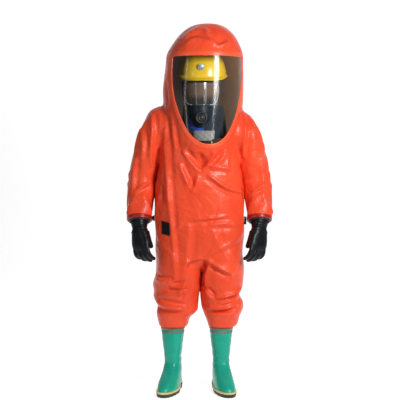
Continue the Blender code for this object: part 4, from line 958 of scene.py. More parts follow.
def make_skin():
    """The whole garment as one skin at rest, and which faces are the sleeves'."""
    skin = remeshed(joined("skin", garment_solids()), VOXEL, 8, 1)
    settle_mounts(skin)
    work = bmesh.new()
    work.from_mesh(skin.data)
    centres = np.array([f.calc_center_median() for f in work.faces])
    window = (visor_distance(centres) < 0.005) & (np.abs(hood_gap(centres)) < 0.03)
    work.faces.ensure_lookup_table()
    bmesh.ops.delete(work, geom=[work.faces[i] for i in np.flatnonzero(window)], context="FACES")
    along = Vector((0, -math.sin(FOREARM_PITCH), -math.cos(FOREARM_PITCH)))
    for _, sign in SIDES:
        work.faces.ensure_lookup_table()
        centres = np.array([f.calc_center_median() for f in work.faces])
        chosen = on_sleeve(centres) & (centres[:, 0] * sign > 0)
        at = Vector((sign * (WRIST.x + SLEEVE_SPREAD), WRIST.y, WRIST.z))
        cut_end(work, [work.faces[i] for i in np.flatnonzero(chosen)], at, along)
    for _, sign in SIDES:
        work.faces.ensure_lookup_table()
        centres = np.array([f.calc_center_median() for f in work.faces])
        chosen = (centres[:, 2] < 0.45) & ((centres[:, 0] - leg_gap(0.4)) * sign > 0)
        at = Vector((0, 0, CUFF_Z))
        cut_end(work, [work.faces[i] for i in np.flatnonzero(chosen)], at, Vector((0, 0, -1)))
    work.normal_update()
    work.faces.ensure_lookup_table()
    sleeves = on_sleeve(np.array([f.calc_center_median() for f in work.faces]))
    work.to_mesh(skin.data)
    work.free()
    set_points(skin, gathered(points_of(skin)))
    add_folds(skin)
    modify(skin, "SMOOTH", factor=0.4, iterations=1)
    apply_modifiers(skin)
    skin.data.shade_smooth()
    return skin, sleeves


def hood_gap(points):
    """How far each point stands out from the hood's surface."""
    z = points[:, 2]
    middle, half, front, back = (np.interp(z, SMOOTH_HOOD[:, 0], SMOOTH_HOOD[:, k])
                                 for k in range(1, 5))
    dx, dy = points[:, 0] - middle, points[:, 1]
    reach = np.hypot(dx, dy)
    depth = np.where(dy < 0, front, back)
    limit = ((np.abs(dx / reach) / half) ** HOOD_POWER
             + (np.abs(dy / reach) / depth) ** HOOD_POWER) ** (-1 / HOOD_POWER)
    return reach - limit


HIP_CREASE_Z, HIP_CREASE_RISE = 0.680, 0.6     # the leg starts below this line, rising outwards
SHIN_START_Z, FOREARM_START_Z = 0.585, 1.115


def part_of(skin, name, keep):
    """The chosen faces of the skin as a piece that keeps the whole skin's shading."""
    points, normals = points_of(skin), normals_of(skin)
    faces = [tuple(skin.data.polygons[i].vertices) for i in np.flatnonzero(keep)]
    used = np.unique(np.array([v for face in faces for v in face]))
    index = np.full(len(points), -1)
    index[used] = np.arange(len(used))
    mesh = bpy.data.meshes.new(name)
    mesh.from_pydata(points[used].tolist(), [], [tuple(int(index[v]) for v in f) for f in faces])
    mesh.materials.append(M["suit"])
    mesh.shade_smooth()
    mesh.normals_split_custom_set_from_vertices(normals[used].tolist())
    obj = bpy.data.objects.new(name, mesh)
    bpy.context.scene.collection.objects.link(obj)
    return obj


def make_garment():
    skin, sleeves = make_skin()
    centres = np.empty(len(skin.data.polygons) * 3)
    skin.data.polygons.foreach_get("center", centres)
    centres = centres.reshape(-1, 3)
    x, z = centres[:, 0], centres[:, 2]
    legs = ~sleeves & (z < HIP_CREASE_Z + HIP_CREASE_RISE * np.abs(x - leg_gap(0.68)))
    suit = part_of(skin, "suit_body", ~sleeves & ~legs)
    finish_piece(suit, "suit", "suit_fabric", "torso_shell", "chest_shell", "hood_shell")
    for side, sign in SIDES:
        own = (x * sign > 0) & sleeves
        lower = z < FOREARM_START_Z
        shoulder = part_of(skin, f"sleeve_top_{side}", own & ~lower)
        blend_piece(shoulder)
        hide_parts(f"sleeve_upper_{side}")
        forearm = part_of(skin, f"sleeve_end_{side}", own & lower)
        blend_piece(forearm)
        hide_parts(f"sleeve_lower_{side}")
        own = (x - leg_gap(z)) * sign > 0
        shin = z < SHIN_START_Z
        thigh = part_of(skin, f"leg_top_{side}", own & legs & ~shin)
        blend_piece(thigh)
        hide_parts(f"leg_{side}")
        calf = part_of(skin, f"leg_end_{side}", own & legs & shin)
        blend_piece(calf)
        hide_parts(f"leg_cuff_{side}")
    return skin


def blend_piece(obj):
    place(obj)
    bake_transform(obj)


# The hood's lining and the visor

def make_lining(skin):
    """The dark inner coating, seen through the visor: the hood's skin again, just inside."""
    points, normals = points_of(skin), normals_of(skin)
    faces = [tuple(p.vertices) for p in skin.data.polygons
             if p.center.z > 1.16 and abs(p.center.x) < (0.20 if p.center.z < 1.42 else 0.27)]
    used = sorted({v for face in faces for v in face})
    index = {v: i for i, v in enumerate(used)}
    inside = points[used] - normals[used] * 0.006
    mesh = bpy.data.meshes.new("hood_lining")
    mesh.from_pydata(inside.tolist(), [], [tuple(index[v] for v in face[::-1]) for face in faces])
    mesh.materials.append(M["lining"])
    mesh.shade_smooth()
    obj = bpy.data.objects.new("hood_lining", mesh)
    bpy.context.scene.collection.objects.link(obj)
    return finish_piece(obj, "suit", "suit_fabric")


def grown_outline(by):
    """The window's outline moved outwards along its own normals, as (angle, height)."""
    flat = np.array(OUTLINE) * (MEAN_RADIUS, 1)
    along = np.roll(flat, -1, axis=0) - np.roll(flat, 1, axis=0)
    outward = np.stack([along[:, 1], -along[:, 0]], 1)
    outward /= np.linalg.norm(outward, axis=1)[:, None]
    return [(a / MEAN_RADIUS, z) for a, z in flat + outward * by]


def make_visor():
    rows = []
    heights = np.concatenate([VISOR_BOTTOM_Z + 0.0015 + 0.39 * np.linspace(0, 1, 60) ** 1.7,
                              np.linspace(1.668, VISOR_TOP_Z, 8)])
    for z in heights:
        half = float(visor_half_angle(z)) + 0.01
        rows.append([hood_point(VISOR_YAW + a, z, -0.0012) for a in np.linspace(-half, half, 61)])
    lens = loft("visor_window", rows, M["visor"], ends=False, closed=False)
    finish_piece(lens, "suit", "visor_clear", "visor_lens")
    profile = [(-0.0045, -0.0006), (-0.0040, 0.0012), (-0.0025, 0.0021), (0.0035, 0.0024),
               (0.0045, 0.0018), (0.0055, 0.0024), (0.0125, 0.0024), (0.0135, 0.0018),
               (0.0145, 0.0024), (0.0175, 0.0020), (0.0188, 0.0010), (0.0192, -0.0010)]
    rings = [[hood_point(VISOR_YAW + a, z, out) for a, z in grown_outline(by)]
             for by, out in profile]
    border = loft("visor_border", rings, M["welded"], ends=False, loop=False)
    modify(border, "SUBSURF", levels=1, render_levels=1)
    apply_modifiers(border)
    border.data.shade_smooth()
    finish_piece(border, "suit", "suit_fabric", "visor_frame")


# Helmet and breathing mask, seen through the visor

def head_ring(z, half, front, back, count=96, power=2.3):
    return ring(HEAD.x, HEAD.y, z, half, front, back, power, count)


def make_helmet():
    brim_z, rise = 1.598, 0.158
    rings = [head_ring(brim_z + 0.004, 0.109, 0.130, 0.120), head_ring(brim_z, 0.112, 0.134, 0.123),
             head_ring(brim_z - 0.001, 0.1262, 0.1700, 0.1370),
             head_ring(brim_z + 0.001, 0.1275, 0.1722, 0.1384),
             head_ring(brim_z + 0.004, 0.1270, 0.1712, 0.1378),
             head_ring(brim_z + 0.0065, 0.1245, 0.160, 0.1345),
             head_ring(brim_z + 0.0105, 0.1205, 0.1440, 0.1300)]
    for t in np.linspace(0, math.radians(86), 26):
        width, z = math.cos(t) ** 0.62, brim_z + 0.014 + (rise - 0.014) * math.sin(t)
        rings.append(head_ring(z, 0.1190 * width, 0.140 * width, 0.128 * width))
    shaped = []
    for level in rings:
        points = np.array(level)
        dx = (points[:, 0] - HEAD.x) / 0.115
        crown = smoothstep(points[:, 2], brim_z + 0.03, brim_z + 0.11)
        ridge = np.exp(-(dx / 0.14) ** 2) + 0.7 * np.exp(-((np.abs(dx) - 0.42) / 0.10) ** 2)
        points[:, 2] += 0.004 * ridge * crown
        low = 1 - smoothstep(points[:, 2], brim_z + 0.012, brim_z + 0.075)
        ahead = smoothstep(HEAD.y - points[:, 1], 0.02, 0.17)
        points[:, 2] += low * (0.022 - 0.030 * ahead)
        shaped.append(points)
    helmet = loft("helmet", shaped, M["helmet"])
    finish_piece(helmet, "suit", "helmet_yellow", "helmet_shell")
    badge = turned("helmet_disc", [(0.0002, 0.0), (0.0150, 0.0), (0.0166, 0.0006), (0.0166, 0.0020),
                                   (0.0156, 0.0028), (0.0146, 0.0022), (0.0128, 0.0022),
                                   (0.0118, 0.0030), (0.0002, 0.0034)], M["silver"])
    badge.data.transform(Matrix.Translation((HEAD.x - 0.010, HEAD.y - 0.1432, 1.660))
                         @ Matrix.Rotation(math.radians(97), 4, "X"))
    finish_piece(badge, "suit", "black_plastic", "helmet_badge")


def mask_point(angle, z, out=0.0):
    """The respirator's front, round the face, narrower towards the chin."""
    share = min(1, max(0, (z - 1.345) / 0.20))
    half, front = 0.070 + 0.026 * share, 0.118 + 0.018 * share
    reach = ((math.sin(angle) / half) ** 2 + (math.cos(angle) / front) ** 2) ** -0.5 + out
    return Vector((HEAD.x - 0.008 + reach * math.sin(angle), HEAD.y - reach * math.cos(angle), z))


MASK_LENS = [(math.radians(a), z) for a, z in
             ((24, 1.466), (36, 1.470), (46, 1.480), (53, 1.493), (58, 1.512), (60.5, 1.540),
              (60, 1.566), (56, 1.584))]


def strip_round(name, outline, profile, material):
    """A moulded strip of a given section round an outline on the mask's face."""
    radius = 0.11
    flat = np.array(outline) * (radius, 1)
    along = np.roll(flat, -1, axis=0) - np.roll(flat, 1, axis=0)
    outward = np.stack([along[:, 1], -along[:, 0]], 1)
    outward /= np.linalg.norm(outward, axis=1)[:, None]
    rings = [[mask_point(a / radius, z, out) for a, z in flat + outward * by]
             for by, out in profile]
    return loft(name, rings, material, ends=False, loop=True)


LENS_MIDDLE_Z = 1.524           # the inner edge is the outline drawn in towards this height
DEMAND_VALVE_Z = 1.405


def make_mask():
    rows = resample(MASK_LENS, 36)
    lens = loft("mask_window", [[mask_point(t, z, 0.0002) for t in np.linspace(-a, a, 49)]
                                for a, z in rows], M["mask_clear"], ends=False, closed=False)
    finish_piece(lens, "suit", "visor_clear", "mask_lens")
    outline = [(a + 0.03, z) for a, z in resample(MASK_LENS, 28)]
    outline += [(-a - 0.03, z) for a, z in outline[::-1]]
    rim = strip_round("mask_lens_rim", outline,
                      [(-0.004, 0.0010), (-0.004, 0.0050), (-0.002, 0.0068),
                       (0.003, 0.0068), (0.005, 0.0050), (0.005, 0.0010)], M["navy"])
    finish_piece(rim, "suit", "mask_navy", "mask_rim")
    edge = strip_round("mask_lens_edge",
                       [(a * 0.93, z * 0.9 + LENS_MIDDLE_Z * 0.1) for a, z in outline],
                       [(-0.0014, 0.0008), (-0.0014, 0.0026), (0.0014, 0.0026), (0.0014, 0.0008)],
                       M["edge"])
    finish_piece(edge, "suit", "visor_clear")
    turn = math.radians(10)
    crease = loft("mask_lens_crease", [[mask_point(turn + a, z, out) for z in
                                        np.linspace(1.476, 1.580, 20)]
                                       for a, out in ((-0.009, 0.0006), (-0.006, 0.0018),
                                                      (0.006, 0.0018), (0.009, 0.0006))],
                  M["edge"], ends=False, closed=False)
    finish_piece(crease, "suit", "visor_clear")
    face = resample([(math.radians(a), z) for a, z in ((40, 1.345), (58, 1.352), (70, 1.368),
                                                       (80, 1.400), (84, 1.430), (84, 1.466))], 40)
    rows = []
    for a, z in face:
        swell = 0.004 * math.sin(math.pi * (z - 1.345) / 0.121)
        rows.append([mask_point(t, z, swell * math.cos(t)) for t in np.linspace(-a, a, 65)])
    body = loft("mask_body", rows, M["navy"], ends=False, closed=False)
    thicken(body, 0.005, -1)
    finish_piece(body, "suit", "mask_navy", "mask_facepiece")
    x = HEAD.x - 0.008
    front_y = mask_point(0, DEMAND_VALVE_Z).y

    def forward(name, profile, material, body_name, slot, *nodes, count=72):
        """A turned piece of the demand valve, with its axis towards the front."""
        obj = turned(name, profile, material, count)
        obj.data.transform(Matrix.Translation((x, front_y - 0.0008, DEMAND_VALVE_Z))
                           @ Matrix.Rotation(math.radians(90), 4, "X"))
        return finish_piece(obj, body_name, slot, *nodes)

    forward("demand_valve_body", [(0.0002, 0.0185), (0.030, 0.0185), (0.0325, 0.0205),
                                  (0.0330, 0.0235), (0.0318, 0.0245), (0.0318, 0.0265),
                                  (0.0330, 0.0275), (0.0330, 0.0375), (0.0315, 0.0415),
                                  (0.0285, 0.0438), (0.0205, 0.0440), (0.0190, 0.0432),
                                  (0.0190, 0.0412), (0.0002, 0.0412)], M["navy"], "suit",
            "mask_navy", "demand_valve")
    forward("purge_cover", [(0.0002, 0.0440), (0.0160, 0.0440), (0.0174, 0.0446), (0.0174, 0.0458),
                            (0.0164, 0.0466), (0.0110, 0.0472), (0.0104, 0.0466),
                            (0.0092, 0.0466), (0.0086, 0.0474), (0.0002, 0.0480)], M["plastic"],
            "purge_button", "black_plastic", "purge_button")
    forward("valve_ring", [(0.0215, 0.0436), (0.0285, 0.0436), (0.0288, 0.0444),
                           (0.0280, 0.0450), (0.0222, 0.0450), (0.0212, 0.0444)], M["plastic"],
            "suit", "mask_navy", count=64)


def skirt_point(angle, z, out=0.0):
    """The dark skirt that hangs from the mask over the neck, wider towards its hem."""
    share = (1.47 - z) / 0.17
    half, front = 0.104 + 0.016 * share, 0.098 + 0.030 * share
    wave = 0.0022 * share * math.sin(9 * angle + 1.1) + 0.0015 * share * math.sin(17 * angle - 0.4)
    reach = ((math.sin(angle) / half) ** 2 + (math.cos(angle) / front) ** 2) ** -0.5 + out + wave
    return Vector((HEAD.x + 0.004 + reach * math.sin(angle), HEAD.y - reach * math.cos(angle), z))


def make_skirt():
    half = math.radians(88)
    rows = [[skirt_point(a, z) for a in np.linspace(-half, half, 81)]
            for z in np.linspace(1.303, 1.47, 30)]
    skirt = loft("mask_skirt", rows, M["dark"], ends=False, closed=False)
    thicken(skirt, 0.0025, -1)
    finish_piece(skirt, "suit", "mask_navy")
    rows = []
    for z in np.linspace(-1, 1, 12):
        middle = math.radians(-24)
        width = math.radians(24) * math.sqrt(1 - 0.8 * z * z)
        rows.append([skirt_point(middle + a, 1.368 + 0.024 * z - 0.05 * a, 0.0012)
                     for a in np.linspace(-width, width, 24)])
    patch = loft("skirt_patch", rows, M["blue"], ends=False, closed=False)
    thicken(patch, 0.001, 1)
    finish_piece(patch, "suit", "mask_navy")


def make_bib():
    """The grey panel under the mask, hung in soft folds."""
    rows = []
    for z in np.linspace(1.290, 1.340, 28):
        half = math.radians(float(np.interp(z, (1.290, 1.300, 1.340), (9, 16, 17))))
        rows.append([hood_point(math.radians(2) + a, z,
                                -0.032 + 0.0016 * math.sin(a * 40 + z * 60) * math.sin(z * 190))
                     for a in np.linspace(-half, half, 41)])
    bib = loft("bib_panel", rows, M["bib"], ends=False, closed=False)
    thicken(bib, 0.003, 0)
    finish_piece(bib, "suit", "bib_grey", "inner_bib")


# Gloves and cuff rings

def wrist_matrix(sign):
    return (Matrix.Translation((sign * WRIST.x, WRIST.y, WRIST.z))
            @ Matrix.Rotation(-FOREARM_PITCH, 4, "X"))


GLOVE = [
    (-0.004, 0.0440, 0.0440), (0.022, 0.0415, 0.0425), (0.036, 0.0350, 0.0390),
    (0.048, 0.031, 0.037), (0.080, 0.027, 0.043), (0.120, 0.023, 0.048), (0.150, 0.018, 0.046),
    (0.166, 0.010, 0.040),
]
FINGERS = [(-0.0345, 0.074), (-0.0118, 0.084), (0.0115, 0.078), (0.0335, 0.062)]
FINGER_R = 0.0115
HAND_TURN = math.radians(52)
HAND_INWARD = 0.09
GLOVE_CUFF = 0.030
HAND_FULLER, HAND_LONGER = 1.12, 1.02


def finger(start, direction, length, radius, curl, spread_axis=(0, 1, 0)):
    """A bent finger: a skin of rings along three bones."""
    place_at, heading = Vector(start), Vector(direction).normalized()
    path, radii = [place_at.copy()], [radius * 1.04]
    for share in (0.44, 0.31, 0.25):
        for k in range(5):
            if share < 0.44 or k > 2:
                heading = Matrix.Rotation(curl / 5, 3, Vector(spread_axis)) @ heading
            place_at = place_at + heading * length * share / 5
            path.append(place_at.copy())
            radii.append(radius * (1.04 - 0.16 * len(path) / 16))
    rings = []
    for i, (point, size) in enumerate(zip(path, radii)):
        along = (path[min(i + 1, len(path) - 1)] - path[max(i - 1, 0)]).normalized()
        across = along.cross(Vector((1, 0, 0))).normalized()
        other = along.cross(across)
        knuckle = (1 + 0.05 * math.exp(-((i - 6) / 1.5) ** 2)
                   + 0.04 * math.exp(-((i - 11) / 1.5) ** 2))
        rings.append([point + (across * math.cos(t) * 1.05 + other * math.sin(t)) * size * knuckle
                      for t in np.arange(24) * math.pi / 12])
    last, along = path[-1], (path[-1] - path[-2]).normalized()
    for t in (0.4, 0.8, 1.15, 1.4):
        across = along.cross(Vector((1, 0, 0))).normalized()
        other = along.cross(across)
        size = radii[-1] * math.cos(t)
        rings.append([last + along * radii[-1] * math.sin(t)
                      + (across * math.cos(a) * 1.05 + other * math.sin(a)) * size
                      for a in np.arange(24) * math.pi / 12])
    return loft("finger", rings)


def make_glove(side, sign):
    palm = []
    for s, thick, wide in resample(GLOVE, 40):
        palm.append([(thick * np.sign(math.cos(t)) * abs(math.cos(t)) ** (2 / 2.3),
                      wide * np.sign(math.sin(t)) * abs(math.sin(t)) ** (2 / 2.3), -s)
                     for t in np.arange(48) * math.pi / 24])
    parts = [loft("palm", palm)]
    for k, (y, length) in enumerate(FINGERS):
        parts.append(finger((0.001, y, -0.146), (-0.10, y * 1.2, -1), length + 0.002, FINGER_R,
                            math.radians(34 + 4 * k)))
    parts.append(finger((-0.012, -0.026, -0.066), (-0.16, -0.06, -1.0), 0.076, 0.0150,
                        math.radians(16), (0.4, 1, 0)))
    glove = remeshed(joined(f"glove_skin_{side}", parts), 0.0026, 10)
    points, normals = points_of(glove), normals_of(glove)
    x, y, z = points.T
    wrinkle = (np.exp(-((z + 0.036) / 0.004) ** 2)
               + 0.8 * np.exp(-((z + 0.047 - 0.2 * y) / 0.004) ** 2)
               + 0.7 * np.exp(-((z + 0.060 + 0.25 * y) / 0.005) ** 2)
               + 0.5 * np.exp(-((z + 0.078 - 0.35 * y) / 0.005) ** 2))
    back_lines = 0.5 * np.exp(-((z + 0.152 - 0.1 * np.abs(y)) / 0.004) ** 2) * (x > 0)
    soft = np.sin(90 * z + 60 * y) * np.sin(70 * y - 50 * x + 1)
    move = 0.0016 * wrinkle - 0.0012 * back_lines + 0.0007 * soft
    move *= smoothstep(-z, 0.026, 0.036)
    points += normals * move[:, None]
    hand = smoothstep(-points[:, 2], 0.030, 0.070)[:, None]
    points[:, :2] *= 1 + (HAND_FULLER - 1) * hand
    points[:, 2] -= (HAND_LONGER - 1) * np.maximum(0, -points[:, 2] - GLOVE_CUFF)
    turn = np.array(Matrix.Rotation(-HAND_TURN, 3, "Z"))
    points = points @ turn.T
    points[:, 0] -= HAND_INWARD * np.maximum(0, -points[:, 2] - GLOVE_CUFF)
    points[:, 0] *= sign
    matrix = np.array(wrist_matrix(sign) @ Matrix.Translation((0, 0, -0.012)))
    points = points @ matrix[:3, :3].T + matrix[:3, 3]
    set_points(glove, points)
    if sign < 0:
        glove.data.flip_normals()
    glove.data.materials.append(M["glove"])
    glove.data.shade_smooth()
    finish_piece(glove, f"hand_{side}", "glove_rubber", f"glove_{side}")
    flipped = wrist_matrix(sign) @ Matrix.Rotation(math.pi, 4, "X")
    band = turned(f"cuff_band_{side}", [(0.0550, 0.0012), (0.0625, 0.0010), (0.0640, 0.0020),
                                        (0.0652, 0.0040), (0.0655, 0.0062), (0.0648, 0.0078),
                                        (0.0640, 0.0086), (0.0648, 0.0096), (0.0652, 0.0130),
                                        (0.0646, 0.0172), (0.0636, 0.0192), (0.0615, 0.0200),
                                        (0.0550, 0.0200)], M["cuff"], 96)
    band.data.transform(flipped)
    finish_piece(band, f"forearm_{side}", "cuff_red", f"cuff_ring_{side}")
    inner = turned(f"glove_clip_{side}", [(0.0480, 0.0040), (0.0540, 0.0040), (0.0545, 0.0046),
                                          (0.0545, 0.0225), (0.0535, 0.0232), (0.0545, 0.0240),
                                          (0.0545, 0.0262), (0.0538, 0.0270), (0.0480, 0.0270)],
                   M["plastic"], 96)
    inner.data.transform(flipped)
    finish_piece(inner, f"hand_{side}", "black_plastic", f"glove_ring_{side}")


# Boots

BOOT_X = {"right": -0.1375, "left": 0.1125}
TOE_OUT = {"right": math.radians(-13), "left": math.radians(11)}
# (height, middle y, half width, front depth, back depth)
BOOT = [
    (0.368, 0.000, 0.0600, 0.062, 0.064), (0.330, 0.000, 0.0590, 0.062, 0.064),
    (0.250, 0.000, 0.0515, 0.057, 0.061), (0.180, 0.000, 0.0430, 0.052, 0.057),
    (0.140, 0.000, 0.0420, 0.054, 0.060), (0.112, -0.010, 0.0440, 0.076, 0.077),
    (0.088, -0.030, 0.0470, 0.110, 0.104), (0.062, -0.052, 0.0505, 0.142, 0.132),
    (0.044, -0.060, 0.0520, 0.150, 0.142), (0.034, -0.062, 0.0515, 0.149, 0.143),
]
BOOT_POWER = 2.3
SOLE_Y = -0.062
TOE_DROP = 0.014                # how much lower the sole's edge runs at the toe than at the heel


# (height, tilt across the shaft, depth, width)
BOOT_CREASES = (
    (0.205, 0.25, 0.0008, 0.009), (0.172, -0.30, 0.0010, 0.009),
    (0.142, 0.35, 0.0012, 0.009), (0.262, -0.2, 0.0008, 0.012),
)
ARCH_WAIST = 0.24               # how much narrower the sole is at the arch
BOOT_RING = 128                 # points round the upper
SOLE_TOP_Z = 0.0325


def toe_drop(y):
    return TOE_DROP * (1 - smoothstep(y, -0.10, -0.01))


def sole_ring(z, half, front, back, notch=0.0, count=240):
    """A sole outline, waisted at the arch, with the side ends of its tread cut in by notch."""
    points = ring(0, SOLE_Y, z, half, front, back, BOOT_POWER, count)
    x, y = points[:, 0], points[:, 1]
    points[:, 0] = x * (1 - ARCH_WAIST * np.exp(-(y / 0.040) ** 2))
    if notch:
        t = np.arange(count)
        cut = (t % 12 < 4) * notch
        middle = np.array((0, SOLE_Y))
        flat = points[:, :2] - middle
        points[:, :2] = middle + flat * (1 - cut / np.linalg.norm(flat, axis=1))[:, None]
    return points


def make_boot(side):
    stand = (Matrix.Translation((BOOT_X[side], 0.002, 0))
             @ Matrix.Rotation(TOE_OUT[side], 4, "Z"))
    rows = resample(BOOT, 110)
    rings = [ring(0, y, z, half, front, back, BOOT_POWER, BOOT_RING)
             for z, y, half, front, back in rows]
    inner = [ring(0, 0, z, 0.055, 0.057, 0.059, BOOT_POWER, BOOT_RING) for z in (0.3675, 0.30)]
    upper = loft(f"boot_shell_{side}", inner[::-1] + rings, M["boot"])
    points, normals = points_of(upper), normals_of(upper)
    x, y, z = points.T
    creases = np.zeros(len(points))
    for height, tilt, size, width in BOOT_CREASES:
        line = z - height - tilt * x - 0.15 * y
        creases += size * (np.exp(-(line / width) ** 2) - 0.6 * np.exp(-(line / width - 1.5) ** 2))
    slow = np.sin(40 * z + 30 * x) * np.sin(35 * y - 28 * z + 2)
    creases += 0.0009 * slow
    toe = np.exp(-((y + 0.148 + 0.25 * (z - 0.06)) / 0.0022) ** 2) * (z < 0.10)
    creases -= 0.0011 * toe
    creases *= smoothstep(z, 0.046, 0.062) * (1 - smoothstep(z, 0.345, 0.362))
    points = points + normals * creases[:, None]
    low = 1 - smoothstep(points[:, 2], 0.036, 0.110)
    points[:, 2] -= toe_drop(points[:, 1]) * low
    points[:, 0] *= 1 - 0.14 * low * np.exp(-(points[:, 1] / 0.045) ** 2)
    set_points(upper, points)
    upper.data.transform(stand)
    finish_piece(upper, f"shin_{side}", "boot_rubber", f"boot_upper_{side}")
    upwards = rows[::-1]

    def shaft(z, out):
        y, half, front, back = (np.interp(z, upwards[:, 0], upwards[:, k]) for k in range(1, 5))
        return ring(0, y, z, half + out, front + out, back + out, BOOT_POWER, BOOT_RING)

    def hoop(name, sections, material, slot):
        made = loft(name, [shaft(z, out) for z, out in sections], M[material], ends=False,
                    loop=True)
        made.data.transform(stand)
        return finish_piece(made, f"shin_{side}", slot)

    hoop(f"boot_rim_{side}", [(0.3315, -0.001), (0.3315, 0.0020), (0.3300, 0.0030), (0.3210, 0.0030),
                              (0.3195, 0.0020), (0.3195, -0.001)], "rim", "boot_rubber")
    hoop(f"boot_band_{side}", [(0.3130, -0.001), (0.3130, 0.0008), (0.3120, 0.0012),
                               (0.2990, 0.0012), (0.2980, 0.0008), (0.2980, -0.001)], "band",
         "boot_rubber")
    edge = loft(f"sole_line_{side}", [sole_ring(z, 0.0515 + out, 0.149 + out, 0.143 + out)
                                      for z, out in ((0.0310, -0.003), (0.0312, 0.0036),
                                                     (0.0330, 0.0050), (0.0400, 0.0050),
                                                     (0.0418, 0.0036), (0.0420, -0.003))],
                M["line"], ends=False, loop=True)
    dropped = points_of(edge)
    dropped[:, 2] -= toe_drop(dropped[:, 1])
    set_points(edge, dropped)
    edge.data.transform(stand)
    finish_piece(edge, f"shin_{side}", "sole_rubber")
    levels = [(SOLE_TOP_Z, 0.050, 0.148, 0.142, 0), (SOLE_TOP_Z, 0.0550, 0.1535, 0.1490, 0),
              (0.0300, 0.0562, 0.1548, 0.1502, 0), (0.0225, 0.0562, 0.1546, 0.1500, 0),
              (0.0200, 0.0555, 0.1538, 0.1492, 0), (0.0195, 0.0555, 0.1538, 0.1492, 0.0045),
              (0.0040, 0.0540, 0.1520, 0.1475, 0.0045), (0.0000, 0.0525, 0.1500, 0.1455, 0.0045)]
    tread = loft(f"outsole_{side}", [sole_ring(*level) for level in levels], M["sole"])
    lifted = points_of(tread)
    arch = smoothstep(lifted[:, 1], -0.046, -0.036) * (1 - smoothstep(lifted[:, 1], 0.004, 0.014))
    lifted[:, 2] += arch * 0.009 * (lifted[:, 2] < 0.012)
    lifted[:, 2] *= 1 - toe_drop(lifted[:, 1]) / SOLE_TOP_Z
    set_points(tread, lifted)
    tread.data.transform(stand)
    finish_piece(tread, f"shin_{side}", "sole_rubber", f"boot_sole_{side}")


# Pieces laid on the trunk, which follow its folds

def surface_of(obj):
    graph = bpy.context.evaluated_depsgraph_get()
    return BVHTree.FromObject(obj, graph)


def on_cloth(tree, turn, z, out):
    """The point of the trunk's skin at a turn from +X, moved out along its normal."""
    half, front, back = (float(np.interp(z, [row[0] for row in TORSO], [row[k] for row in TORSO]))
                         for k in (1, 2, 3))
    across, ahead = math.cos(turn), math.sin(turn)
    away = Vector((half * math.copysign(abs(across) ** (2 / TORSO_POWER), across),
                   (front if ahead < 0 else back)
                   * math.copysign(abs(ahead) ** (2 / TORSO_POWER), ahead), 0)).normalized()
    hit, normal, _, _ = tree.ray_cast(away * 0.6 + Vector((0, 0, z)), -away)
    level = Vector((normal.x, normal.y, normal.z * 0.3)).normalized()
    if level.dot(away) < 0:
        level = -level
    return hit + level * out


def laid_strip(tree, name, turns, heights, material, thick, steps=40, rise=0.0):
    low, high = heights
    profile = [(low, 0.0002), (low, thick), (low + 0.001, thick + 0.0006)]
    profile += [(low + (high - low) * share, thick + 0.0006) for share in (0.25, 0.5, 0.75)]
    profile += [(high - 0.001, thick + 0.0006), (high, thick), (high, 0.0002)]
    turns = np.radians(np.linspace(*turns, steps))
    rings = [[on_cloth(tree, t, z + rise * k / steps, out) for z, out in profile]
             for k, t in enumerate(turns)]
    return loft(name, rings, material)


def make_belt(tree):
    for side, turns in (("left", (8, 75)), ("right", (105, 148))):
        strap = laid_strip(tree, f"belt_strap_{side}", turns, (0.861, 0.899), M["webbing"], 0.0016)
        finish_piece(strap, "suit", "webbing", f"belt_webbing_{side}")
    patch = laid_strip(tree, "loop_patch", (220, 238), (0.822, 0.888), M["pile"], 0.0018, 24,
                       rise=-0.010)
    finish_piece(patch, "suit", "webbing", "hook_patch")


# Zip and flap, down the back

def back_point(x, out, z):
    return Vector((x, BACK_AT_800 + BACK_LEAN * (z - 0.8) + out, z))


def make_zip():
    low, high = 0.760, 1.440
    rows = []
    for z in np.linspace(low, high, 150):
        rows.append([back_point(x, out, z) for x, out in
                     ((-0.022, 0.0002), (-0.022, 0.0016), (-0.0205, 0.0020), (-0.008, 0.0020),
                      (-0.0055, 0.0024), (0.0055, 0.0024), (0.008, 0.0020), (0.0205, 0.0020),
                      (0.022, 0.0016), (0.022, 0.0002))])
    tape = loft("zip_band", rows, M["webbing"])
    finish_piece(tape, "suit", "webbing", "zip_tape")
    teeth = []
    pitch = 0.0032
    lean = Matrix.Rotation(-math.atan(BACK_LEAN), 4, "X")
    for k in range(int((high - low - 0.02) / pitch)):
        sign = 1 if k % 2 else -1
        tooth = tooth_mesh()
        middle = back_point(sign * 0.0012, 0.0040, low + 0.01 + k * pitch)
        tooth.data.transform(Matrix.Translation(middle) @ lean
                             @ Matrix.Scale(sign, 4, (1, 0, 0)))
        teeth.append(tooth)
    chain = joined("zip_teeth", teeth)
    chain.data.materials.append(M["brass"])
    finish_piece(chain, "suit", "metal", "zip_chain")


def tooth_mesh():
    """One moulded tooth, with its head across the middle of the chain."""
    outline = [(-0.0030, 0.0007), (0.0008, 0.0007), (0.0018, 0.0012), (0.0030, 0.0009),
               (0.0033, 0.0), (0.0030, -0.0009), (0.0018, -0.0012), (0.0008, -0.0007),
               (-0.0030, -0.0007)]
    rings = [[(x * size, y, z * size) for x, z in outline]
             for y, size in ((-0.0014, 0.9), (-0.0010, 1.0), (0.0010, 1.0), (0.0014, 0.88))]
    return loft("tooth", rings)


